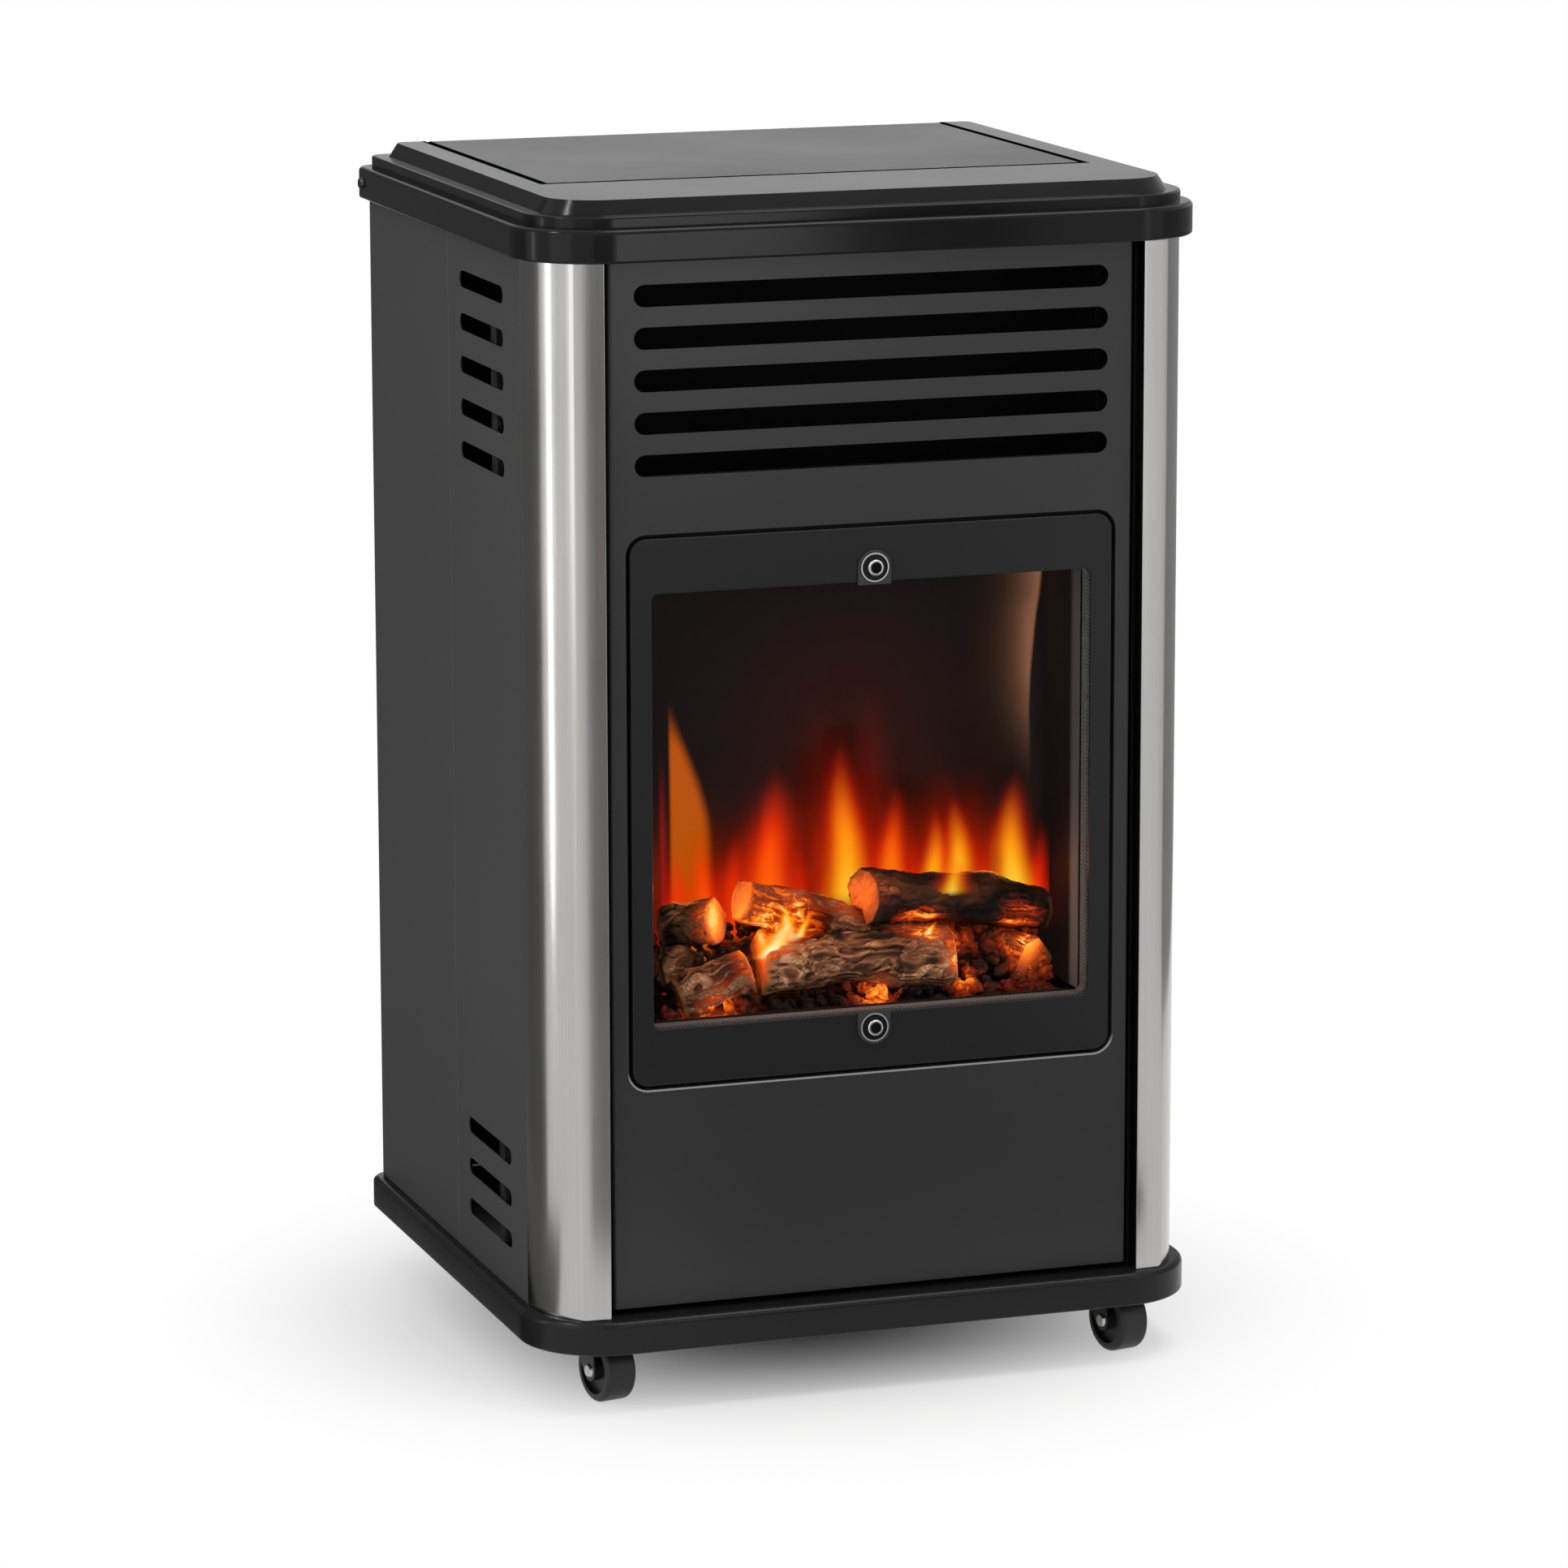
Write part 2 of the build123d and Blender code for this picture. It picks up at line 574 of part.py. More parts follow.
with BuildPart() as side_panel_left:
    with BuildSketch(Plane.XY.offset(BODY_Z)):
        span(-SIDE_X, -SIDE_X + SHEET, TRIM_END_Y, SIDE_END_Y)
        span(-SIDE_X, -SIDE_X + SIDE_FRONT_FLANGE, TRIM_END_Y, TRIM_END_Y + SHEET)
        span(-SIDE_X, -SIDE_X + SIDE_REAR_FLANGE, SIDE_END_Y - SHEET, SIDE_END_Y)
    extrude(amount=BODY_HEIGHT)
    with BuildSketch(side_plane(-SIDE_X)):
        with Locations(*[(LOUVRE_Y, height) for height in LOUVRE_HEIGHTS]):
            SlotOverall(LOUVRE_LENGTH, LOUVRE_HEIGHT)
    extrude(amount=SHEET, mode=Mode.SUBTRACT)
finish(side_panel_left, "side_panel_left")
write_mirrored(side_panel_left, "side_panel_right")

# ---------------------------------------------------------------- front panel
SLOT_HEIGHTS = [RIM_Z - SLOT_TOP_DROP - i * SLOT_PITCH for i in range(SLOT_COUNT)]
OPENING_WIDTH = FRAME_WIDTH + 2 * FRAME_GAP
OPENING_HEIGHT = FRAME_HEIGHT + 2 * FRAME_GAP
OPENING_RADIUS = FRAME_RADIUS + FRAME_GAP

with BuildPart() as front_panel:
    block(-PANEL_X, PANEL_X, PANEL_Y, PANEL_BACK_Y, BODY_Z + PANEL_FOOT_GAP, RIM_Z - SEAT_GAP)
    fillet(front_panel.edges().filter_by(Axis.Z).group_by(Axis.Y)[0], radius=PANEL_ROUND)
    block(-PANEL_X + SHEET, PANEL_X - SHEET, PANEL_Y + SHEET, PANEL_BACK_Y,
          BODY_Z + PANEL_FOOT_GAP + SHEET, RIM_Z - SEAT_GAP - SHEET, mode=Mode.SUBTRACT)
    with BuildSketch(front_plane(PANEL_Y + SHEET + OPENING_RETURN)):
        with Locations((0, FRAME_Z)):
            RectangleRounded(OPENING_WIDTH + 2 * SHEET, OPENING_HEIGHT + 2 * SHEET, OPENING_RADIUS + SHEET)
    extrude(amount=OPENING_RETURN)
    with BuildSketch(front_plane(PANEL_BACK_Y)):
        with Locations((0, FRAME_Z)):
            RectangleRounded(OPENING_WIDTH, OPENING_HEIGHT, OPENING_RADIUS)
        with Locations(*[(0, height) for height in SLOT_HEIGHTS]):
            SlotOverall(SLOT_LENGTH, SLOT_HEIGHT)
    extrude(amount=PANEL_DEPTH, mode=Mode.SUBTRACT)
finish(front_panel, "front_panel")

# ---------------------------------------------------------------- window
CLIP_PLACES = [(VIEW_Z + VIEW_HEIGHT / 2, 1), (VIEW_Z - VIEW_HEIGHT / 2, -1)]
SCREW_HEIGHTS = [edge_z + way * CLIP_SCREW_RISE for edge_z, way in CLIP_PLACES]

with BuildPart() as window_frame:
    with BuildSketch(front_plane(GLASS_Y)):
        with Locations((0, FRAME_Z)):
            RectangleRounded(FRAME_WIDTH, FRAME_HEIGHT, FRAME_RADIUS)
        with Locations((0, VIEW_Z)):
            RectangleRounded(VIEW_WIDTH, VIEW_HEIGHT, VIEW_RADIUS, mode=Mode.SUBTRACT)
    extrude(amount=FRAME_SHEET)
    fillet(window_frame.edges().group_by(Axis.Y)[0], radius=FRAME_EDGE_ROUND)
    with BuildSketch(front_plane(GLASS_Y)):
        with Locations(*[(0, height) for height in SCREW_HEIGHTS]):
            Circle(SCREW_SHANK_RADIUS)
    extrude(amount=FRAME_SHEET, mode=Mode.SUBTRACT)
finish(window_frame, "window_frame")

with BuildPart() as window_glass:
    with BuildSketch(front_plane(GLASS_BACK_Y)):
        with Locations((0, VIEW_Z)):
            RectangleRounded(VIEW_WIDTH + 2 * GLASS_LAP, VIEW_HEIGHT + 2 * GLASS_LAP, VIEW_RADIUS)
    extrude(amount=GLASS_THICKNESS)
finish(window_glass, "window_glass")

with BuildPart() as glass_gasket:
    with BuildSketch(front_plane(PANEL_BACK_Y)):
        with Locations((0, VIEW_Z)):
            RectangleRounded(VIEW_WIDTH + 2 * GLASS_LAP, VIEW_HEIGHT + 2 * GLASS_LAP, VIEW_RADIUS)
            RectangleRounded(VIEW_WIDTH - 2 * GASKET_SHOW, VIEW_HEIGHT - 2 * GASKET_SHOW, VIEW_RADIUS,
                             mode=Mode.SUBTRACT)
    extrude(amount=PANEL_BACK_Y - GLASS_BACK_Y)
finish(glass_gasket, "glass_gasket")

with BuildPart() as glass_clips:
    for edge_z, way in CLIP_PLACES:
        screw_z = edge_z + way * CLIP_SCREW_RISE
        with BuildSketch(front_plane(FRAME_FRONT_Y)):
            span(-CLIP_WIDTH / 2, CLIP_WIDTH / 2, edge_z - way * CLIP_LAP, screw_z)
            with Locations((0, screw_z)):
                Circle(CLIP_WIDTH / 2)
                Circle(SCREW_SHANK_RADIUS, mode=Mode.SUBTRACT)
        extrude(amount=CLIP_THICKNESS)
        with BuildSketch(front_plane(FRAME_FRONT_Y - CLIP_THICKNESS)):
            with Locations((0, screw_z)):
                Circle(CLIP_RIM_RADIUS + 2 * CLIP_RIM)
                Circle(CLIP_RIM_RADIUS, mode=Mode.SUBTRACT)
        extrude(amount=CLIP_RIM)
finish(glass_clips, "glass_clips")

with BuildPart() as clip_screws:
    with BuildSketch(front_plane(FRAME_FRONT_Y - CLIP_THICKNESS)):
        with Locations(*[(0, height) for height in SCREW_HEIGHTS]):
            Circle(SCREW_HEAD_RADIUS)
    extrude(amount=SCREW_HEAD)
    fillet(clip_screws.edges().group_by(Axis.Y)[0], radius=SCREW_HEAD / 3)
    with BuildSketch(front_plane(FRAME_FRONT_Y - CLIP_THICKNESS - SCREW_HEAD)):
        with Locations(*[(0, height) for height in SCREW_HEIGHTS]):
            RegularPolygon(SCREW_SOCKET / 2, 6, major_radius=False)
    extrude(amount=-SCREW_SOCKET_DEPTH, mode=Mode.SUBTRACT)
    with BuildSketch(front_plane(GLASS_Y)):
        with Locations(*[(0, height) for height in SCREW_HEIGHTS]):
            Circle(SCREW_SHANK_RADIUS)
    extrude(amount=FRAME_SHEET + CLIP_THICKNESS)
finish(clip_screws, "clip_screws")

# ---------------------------------------------------------------- firebox
FIREBOX_X = FIREBOX_WIDTH / 2

with BuildPart() as firebox_shell:
    block(-FIREBOX_X, FIREBOX_X, POST_Y, FIREBOX_BACK_Y, FIREBOX_Z, FIREBOX_TOP_Z)
    block(-FIREBOX_X + SHEET, FIREBOX_X - SHEET, POST_Y, FIREBOX_BACK_Y - SHEET,
          FIREBOX_FLOOR_Z, FIREBOX_TOP_Z - SHEET, mode=Mode.SUBTRACT)
    with BuildSketch(front_plane(POST_Y)):
        span(-PANEL_X, PANEL_X,
             FIREBOX_Z - FIREBOX_FLANGE_LAP, FIREBOX_TOP_Z + FIREBOX_FLANGE_LAP)
        with Locations((0, VIEW_Z)):
            Rectangle(VIEW_WIDTH, VIEW_HEIGHT, mode=Mode.SUBTRACT)
    extrude(amount=SHEET)
    flue_y = (POST_Y + FIREBOX_BACK_Y) / 2
    block(-FLUE_WIDTH / 2, FLUE_WIDTH / 2, flue_y - FLUE_DEPTH / 2, flue_y + FLUE_DEPTH / 2,
          FIREBOX_TOP_Z - SHEET, FIREBOX_TOP_Z, mode=Mode.SUBTRACT)
    with BuildSketch(side_plane(-FIREBOX_X)):
        with Locations((BURNER_LINE_Y, BURNER_Z)):
            Circle(BURNER_NECK_RADIUS + SEAT_GAP)
        with Locations((PILOT_LINE_Y, PILOT_PIPE_Z)):
            Circle(PILOT_PIPE_RADIUS + SEAT_GAP)
    extrude(amount=SHEET, mode=Mode.SUBTRACT)
finish(firebox_shell, "firebox_shell")

with BuildPart() as back_reflector:
    reflector_x = REFLECTOR_WIDTH / 2
    reflector_back_y = FIREBOX_BACK_Y - SHEET
    reflector_front_y = POST_Y + REFLECTOR_FRONT_GAP
    with BuildSketch(Plane.XY.offset(FIREBOX_FLOOR_Z + REFLECTOR_RISE)):
        with BuildLine():
            FilletPolyline(
                (-reflector_x, reflector_front_y),
                (-reflector_x, reflector_back_y),
                (reflector_x, reflector_back_y),
                (reflector_x, reflector_front_y),
                radius=REFLECTOR_RADIUS,
            )
            offset(amount=REFLECTOR_SHEET, side=Side.RIGHT)
        make_face()
    extrude(amount=FIREBOX_HEIGHT - 2 * SHEET - REFLECTOR_RISE - REFLECTOR_TOP_GAP)
finish(back_reflector, "back_reflector")

with BuildPart() as warm_air_hood:
    hood_top_z = RIM_Z - HOOD_TOP_GAP
    hood_bend_z = FIREBOX_TOP_Z + HOOD_STRAIGHT
    hood_front_y = PANEL_BACK_Y + HOOD_FRONT_FLAT

    def hood_profile(wall):
        """Side view of the hood, drawn in by the wall at the back and the top."""
        back = FIREBOX_BACK_Y - wall
        top = hood_top_z - wall
        Line((PANEL_BACK_Y, FIREBOX_TOP_Z), (back, FIREBOX_TOP_Z))
        Line((back, FIREBOX_TOP_Z), (back, hood_bend_z))
        TangentArc((back, hood_bend_z), (hood_front_y, top), tangent=(0, 1))
        Line((hood_front_y, top), (PANEL_BACK_Y, top))
        Line((PANEL_BACK_Y, top), (PANEL_BACK_Y, FIREBOX_TOP_Z))

    with BuildSketch(side_plane(-HOOD_WIDTH / 2)):
        with BuildLine():
            hood_profile(0)
        make_face()
    extrude(amount=HOOD_WIDTH)
    with BuildSketch(side_plane(-HOOD_WIDTH / 2 + SHEET)):
        with BuildLine():
            hood_profile(SHEET)
        make_face()
    extrude(amount=HOOD_WIDTH - 2 * SHEET, mode=Mode.SUBTRACT)
    block(-PANEL_X, PANEL_X, PANEL_BACK_Y, POST_Y,
          FIREBOX_TOP_Z, FIREBOX_TOP_Z + FIREBOX_FLANGE_LAP + SEAT_GAP, mode=Mode.SUBTRACT)
finish(warm_air_hood, "warm_air_hood")

with BuildPart() as heat_shield:
    shield_x = SIDE_X - SHEET - SEAT_GAP
    shield_foot_z = BODY_Z + SEAT_GAP
    with BuildSketch(Plane.XY.offset(shield_foot_z)):
        span(-shield_x, shield_x, SHIELD_Y, SHIELD_Y + SHEET)
        span(-shield_x, -shield_x + SHEET, SHIELD_Y, SHIELD_Y + SHIELD_FLANGE)
        span(shield_x - SHEET, shield_x, SHIELD_Y, SHIELD_Y + SHIELD_FLANGE)
    extrude(amount=RIM_Z - SHIELD_DROP - shield_foot_z)
    with BuildSketch(front_plane(SHIELD_Y + SHEET)):
        with Locations((PIPE_X, BURNER_Z)):
            Circle(PIPE_RADIUS + 2 * SHEET)
        with Locations((PILOT_PIPE_X, PILOT_PIPE_Z)):
            Circle(PILOT_PIPE_RADIUS + SHEET)
    extrude(amount=SHEET, mode=Mode.SUBTRACT)
finish(heat_shield, "heat_shield")

# ---------------------------------------------------------------- burner and pilot group
BURNER_START_X = BURNER_SHIFT - BURNER_LENGTH / 2
BURNER_MOUTH_X = BURNER_START_X - BURNER_CONE - BURNER_NECK
BURNER_CONE_ENDS = ((BURNER_START_X, BURNER_RADIUS), (BURNER_START_X - BURNER_CONE, BURNER_NECK_RADIUS))

with BuildPart() as burner_tube:
    with BuildSketch(side_plane(BURNER_START_X)):
        with Locations((BURNER_LINE_Y, BURNER_Z)):
            Circle(BURNER_RADIUS)
    extrude(amount=BURNER_LENGTH)
    for cone_x, cone_radius in BURNER_CONE_ENDS:
        with BuildSketch(side_plane(cone_x)):
            with Locations((BURNER_LINE_Y, BURNER_Z)):
                Circle(cone_radius)
    loft()
    with BuildSketch(side_plane(BURNER_MOUTH_X)):
        with Locations((BURNER_LINE_Y, BURNER_Z)):
            Circle(BURNER_NECK_RADIUS)
    extrude(amount=BURNER_NECK)
    with BuildSketch(side_plane(BURNER_MOUTH_X)):
        with Locations((BURNER_LINE_Y, BURNER_Z)):
            Circle(BURNER_NECK_RADIUS - SHEET)
    extrude(amount=BURNER_NECK, mode=Mode.SUBTRACT)
    with BuildSketch(side_plane(BURNER_START_X)):
        with Locations((BURNER_LINE_Y, BURNER_Z)):
            Circle(BURNER_RADIUS - SHEET)
    extrude(amount=BURNER_LENGTH - SHEET, mode=Mode.SUBTRACT)
    for cone_x, cone_radius in BURNER_CONE_ENDS:
        with BuildSketch(side_plane(cone_x)):
            with Locations((BURNER_LINE_Y, BURNER_Z)):
                Circle(cone_radius - SHEET)
    loft(mode=Mode.SUBTRACT)
    with BuildSketch(Plane(origin=(BURNER_SHIFT, BURNER_LINE_Y, BURNER_Z))):
        with GridLocations(BURNER_PORT_PITCH, 0, BURNER_PORT_COUNT, 1):
            Rectangle(BURNER_PORT, BURNER_PORT_LENGTH)
    extrude(amount=BURNER_RADIUS, mode=Mode.SUBTRACT)
    with BuildSketch(Plane(origin=(BURNER_MOUTH_X + BURNER_NECK / 3, BURNER_LINE_Y, BURNER_Z))):
        Circle(AIR_HOLE_RADIUS)
    extrude(amount=BURNER_NECK_RADIUS, both=True, mode=Mode.SUBTRACT)
finish(burner_tube, "burner_tube")

with BuildPart() as gas_injector:
    injector_start_x = BURNER_MOUTH_X - INJECTOR_LENGTH / 2
    with BuildSketch(side_plane(injector_start_x)):
        with Locations((BURNER_LINE_Y, BURNER_Z)):
            Circle(BURNER_NECK_RADIUS - SHEET)
    extrude(amount=INJECTOR_LENGTH)
    with BuildSketch(side_plane(injector_start_x)):
        with Locations((BURNER_LINE_Y, BURNER_Z)):
            RegularPolygon(BURNER_NECK_RADIUS + SHEET, 6)
    extrude(amount=INJECTOR_LENGTH / 2)
finish(gas_injector, "gas_injector")

with BuildPart() as pilot_burner:
    pilot_top_z = PILOT_PIPE_Z + PILOT_BLOCK / 2
    block(-PILOT_X - PILOT_BLOCK / 2, -PILOT_X + PILOT_BLOCK / 2, PILOT_LINE_Y - PILOT_BLOCK / 2,
          PILOT_LINE_Y + PILOT_BLOCK / 2, FIREBOX_FLOOR_Z, pilot_top_z)
    with BuildSketch(Plane.XY.offset(pilot_top_z)):
        with Locations((-PILOT_X, PILOT_LINE_Y)):
            Circle(PILOT_TIP_RADIUS)
            Circle(PILOT_TIP_RADIUS / 2, mode=Mode.SUBTRACT)
    extrude(amount=PILOT_TIP)
finish(pilot_burner, "pilot_burner")


def stepped_pin(name, x, foot, head):
    """Pin on the firebox floor beside the pilot burner: a (radius, height) foot under a thinner head."""
    with BuildPart() as pin:
        height = FIREBOX_FLOOR_Z
        for radius, length in (foot, head):
            with BuildSketch(Plane.XY.offset(height)):
                with Locations((x, PILOT_LINE_Y)):
                    Circle(radius)
            extrude(amount=length)
            height += length
        fillet(pin.edges().group_by(Axis.Z)[-1], radius=head[0] / 2)
    finish(pin, name)


stepped_pin("thermocouple", -PILOT_X + PILOT_SPACING, THERMOCOUPLE_FOOT, THERMOCOUPLE_TIP)
stepped_pin("spark_electrode", -PILOT_X + 2 * PILOT_SPACING, ELECTRODE_FOOT, ELECTRODE_TIP)

# ---------------------------------------------------------------- fuel bed
FUEL_Z = FIREBOX_FLOOR_Z + FUEL_TRAY_RISE
FUEL_X = FUEL_TRAY_WIDTH / 2
FUEL_FRONT_Y = POST_Y + REFLECTOR_FRONT_GAP / 2
FUEL_BACK_Y = FUEL_FRONT_Y + FUEL_TRAY_DEPTH
BED_Z = FUEL_Z + EMBER_BED_HEIGHT

with BuildPart() as fuel_tray:
    block(-FUEL_X, FUEL_X, FUEL_FRONT_Y, FUEL_BACK_Y, FUEL_Z - SHEET, FUEL_Z)
    block(-FUEL_X, FUEL_X, FUEL_FRONT_Y, FUEL_FRONT_Y + SHEET, FUEL_Z, FUEL_Z + FUEL_TRAY_LIP)
    block(FUEL_X - SHEET, FUEL_X, FUEL_FRONT_Y, FUEL_BACK_Y, FIREBOX_FLOOR_Z, FUEL_Z)
    block(-FUEL_X, -FUEL_X + SHEET, FUEL_FRONT_Y, BURNER_LINE_Y - BURNER_RADIUS - SHEET,
          FIREBOX_FLOOR_Z, FUEL_Z)
    with BuildSketch(Plane.XY.offset(FUEL_Z)):
        with Locations((0, BURNER_LINE_Y)):
            with GridLocations(FUEL_TRAY_WIDTH / FUEL_SLOT_COUNT, 0, FUEL_SLOT_COUNT, 1):
                SlotOverall(FUEL_SLOT_LENGTH, FUEL_SLOT_WIDTH)
    extrude(amount=-SHEET, mode=Mode.SUBTRACT)
finish(fuel_tray, "fuel_tray")

BED_FRONT_Y = FUEL_FRONT_Y + SHEET + SEAT_GAP
with BuildPart() as ember_bed:
    block(-FUEL_X + 2 * SHEET, FUEL_X - 2 * SHEET, BED_FRONT_Y, FUEL_BACK_Y - SHEET, FUEL_Z, BED_Z)
    chamfer(ember_bed.edges().group_by(Axis.Z)[-1], length=EMBER_BED_HEIGHT / 3)
    for lump in range(EMBER_COUNT):
        lump_x = -FUEL_X + EMBER_MARGIN + lump * (FUEL_TRAY_WIDTH - 2 * EMBER_MARGIN) / (EMBER_COUNT - 1)
        lump_y = BED_FRONT_Y + EMBER_SIZE * (0.68 + 0.35 * sin(2.4 * lump))
        lump_size = EMBER_SIZE * (0.8 + 0.2 * cos(1.7 * lump))
        tilt = (35 * sin(lump), 30 * cos(lump), 25 * lump)
        with Locations(Location((lump_x, lump_y, BED_Z - EMBER_SINK), tilt)):
            Box(lump_size, lump_size * 0.75, lump_size * 0.6)
    block(-FUEL_X, FUEL_X, POST_Y - EMBER_SIZE, BED_FRONT_Y, FUEL_Z - EMBER_SIZE, BED_Z + 2 * EMBER_SIZE,
          mode=Mode.SUBTRACT)
    block(-FUEL_X, FUEL_X, BED_FRONT_Y, FUEL_BACK_Y, FUEL_Z - EMBER_SIZE, FUEL_Z, mode=Mode.SUBTRACT)
finish(ember_bed, "ember_bed")



def log_point(start, end, share):
    """Point on the log's slightly bowed centre line."""
    bow = LOG_BOW * (end - start).length * sin(pi * share)
    return start + (end - start) * share + Vector(0, 0, bow)


def log_piece(name, sizes, phase, rests_on):
    """Ceramic log: a faceted, knotty, bowed trunk, hollowed where it lies on the pieces under it."""
    start_place, end_place, (radius, end_radius) = sizes
    bed = Vector(0, FUEL_FRONT_Y, BED_Z)
    start, end = bed + Vector(*start_place), bed + Vector(*end_place)
    axis = (end - start).normalized()
    across = axis.cross(Vector(0, 0, 1)).normalized()
    with BuildPart() as log:
        for ring in range(LOG_RINGS):
            share = ring / (LOG_RINGS - 1)
            ring_plane = Plane(origin=log_point(start, end, share), x_dir=across, z_dir=axis)
            ring_radius = (radius + (end_radius - radius) * share) * (1 + 0.07 * sin(2.1 * ring + phase))
            corners = []
            for facet in range(LOG_FACETS):
                angle = 2 * pi * facet / LOG_FACETS
                bark = ring_radius * (1 + 0.09 * sin(3 * angle + phase) + 0.05 * sin(5 * angle + 2 * phase))
                corners.append((bark * cos(angle), bark * sin(angle)))
            with BuildSketch(ring_plane):
                with BuildLine():
                    Polyline(*corners, close=True)
                make_face()
        loft(ruled=True)
        for lower in rests_on:
            add(lower.part, mode=Mode.SUBTRACT)
    finish(log, name)
    return log


log_front = log_piece("log_front", LOG_FRONT, 0.4, [ember_bed])
log_left = log_piece("log_left", LOG_LEFT, 1.3, [ember_bed, log_front])
log_stub = log_piece("log_stub", LOG_STUB, 2.2, [ember_bed, log_front, log_left])
log_right = log_piece("log_right", LOG_RIGHT, 0.7, [ember_bed, log_front])
log_back = log_piece("log_back", LOG_BACK, 0.9, [log_front, log_left, log_stub])
log_branch = log_piece("log_branch", LOG_BRANCH, 2.9, [log_front, log_left, log_stub, log_back])
log_top = log_piece("log_top", LOG_TOP, 1.9, [log_front, log_right, log_branch])

# ---------------------------------------------------------------- gas train
VALVE_FOOT_Z = VALVE_TOP_Z - VALVE_HEIGHT
VALVE_LEFT_X = VALVE_X - VALVE_WIDTH / 2
VALVE_RIGHT_X = VALVE_X + VALVE_WIDTH / 2
VALVE_BACK_Y = VALVE_LINE_Y + VALVE_DEPTH / 2
PLUG_Z = VALVE_TOP_Z - VALVE_HEIGHT + 5 * SHEET
PLUG_TOP_Z = PLUG_Z + PLUG_HEIGHT

with BuildPart() as gas_valve:
    block(VALVE_LEFT_X, VALVE_RIGHT_X, VALVE_LINE_Y - VALVE_DEPTH / 2, VALVE_BACK_Y,
          VALVE_FOOT_Z, VALVE_TOP_Z)
    fillet(gas_valve.edges().filter_by(Axis.Z), radius=3 * SHEET)
    with BuildSketch(side_plane(VALVE_RIGHT_X)):
        with Locations((VALVE_LINE_Y, PIPE_VALVE_Z)):
            Circle(MAGNET_RADIUS)
    extrude(amount=MAGNET_LENGTH)
    with BuildSketch(Plane.XY.offset(PLUG_Z - SEAT_GAP)):
        with Locations((VALVE_X, VALVE_LINE_Y)):
            Circle(PLUG_RADIUS + RUNNING_FIT)
    extrude(amount=PLUG_HEIGHT + 2 * SEAT_GAP, mode=Mode.SUBTRACT)
    with BuildSketch(Plane.XY.offset(PLUG_TOP_Z)):
        with Locations((VALVE_X, VALVE_LINE_Y)):
            Circle(SPINDLE_RADIUS + SPINDLE_HOLE_GAP)
    extrude(amount=VALVE_TOP_Z - PLUG_TOP_Z, mode=Mode.SUBTRACT)
finish(gas_valve, "gas_valve")


def spindle_section(radius, flat):
    """Round section with one flat, in the sketch that is open."""
    with Locations((VALVE_X, VALVE_LINE_Y)):
        Circle(radius)
        with Locations((0, flat + radius / 2)):
            Rectangle(2 * radius, radius, mode=Mode.SUBTRACT)


with BuildPart() as valve_plug:
    with BuildSketch(Plane.XY.offset(PLUG_Z)):
        with Locations((VALVE_X, VALVE_LINE_Y)):
            Circle(PLUG_RADIUS)
    extrude(amount=PLUG_HEIGHT)
    with BuildSketch(Plane.XY.offset(PLUG_Z)):
        spindle_section(SPINDLE_RADIUS + RUNNING_FIT, SPINDLE_FLAT + RUNNING_FIT)
    extrude(amount=PLUG_HEIGHT, mode=Mode.SUBTRACT)
finish(valve_plug, "valve_plug")

with BuildPart() as inlet_nozzle:
    nozzle_plane = Plane(origin=(VALVE_X, VALVE_BACK_Y, PIPE_VALVE_Z), x_dir=(1, 0, 0), z_dir=(0, 1, 0))
    with BuildSketch(nozzle_plane):
        RegularPolygon(NOZZLE_NUT_RADIUS, 6)
    extrude(amount=NOZZLE_NUT)
    with BuildSketch(nozzle_plane.offset(NOZZLE_NUT)):
        Circle(NOZZLE_RADIUS)
    extrude(amount=NOZZLE_LENGTH)
    barb_taper = degrees(atan2(NOZZLE_BARB_RADIUS - NOZZLE_RADIUS, NOZZLE_BARB))
    last_barb = NOZZLE_NUT + NOZZLE_LENGTH - NOZZLE_TIP - NOZZLE_BARB
    for barb in range(NOZZLE_BARB_COUNT):
        with BuildSketch(nozzle_plane.offset(last_barb - barb * NOZZLE_BARB_PITCH)):
            Circle(NOZZLE_BARB_RADIUS)
        extrude(amount=NOZZLE_BARB, taper=barb_taper)
    with BuildSketch(nozzle_plane):
        Circle(NOZZLE_RADIUS / 2)
    extrude(amount=NOZZLE_NUT + NOZZLE_LENGTH, mode=Mode.SUBTRACT)
finish(inlet_nozzle, "inlet_nozzle")


def pipe(name, points, bend, radius):
    """Bent tube through the given corners."""
    with BuildPart() as tube:
        with BuildLine() as route:
            FilletPolyline(*points, radius=bend)
        path = route.wires()[0]
        with BuildSketch(Plane(origin=path @ 0, z_dir=path % 0)):
            Circle(radius)
        sweep(path=path)
    finish(tube, name)


pipe(
    "gas_pipe",
    [
        (VALVE_LEFT_X, VALVE_LINE_Y, PIPE_VALVE_Z),
        (PIPE_X, VALVE_LINE_Y, PIPE_VALVE_Z),
        (PIPE_X, VALVE_LINE_Y, BURNER_Z),
        (PIPE_X, BURNER_LINE_Y, BURNER_Z),
        (BURNER_MOUTH_X - INJECTOR_LENGTH / 2, BURNER_LINE_Y, BURNER_Z),
    ],
    PIPE_BEND,
    PIPE_RADIUS,
)
pipe(
    "pilot_pipe",
    [
        (VALVE_LEFT_X, PILOT_VALVE_Y, PILOT_VALVE_Z),
        (PILOT_PIPE_X, PILOT_VALVE_Y, PILOT_VALVE_Z),
        (PILOT_PIPE_X, PILOT_VALVE_Y, PILOT_PIPE_Z),
        (PILOT_PIPE_X, PILOT_LINE_Y, PILOT_PIPE_Z),
        (-PILOT_X - PILOT_BLOCK / 2, PILOT_LINE_Y, PILOT_PIPE_Z),
    ],
    PILOT_PIPE_BEND,
    PILOT_PIPE_RADIUS,
)

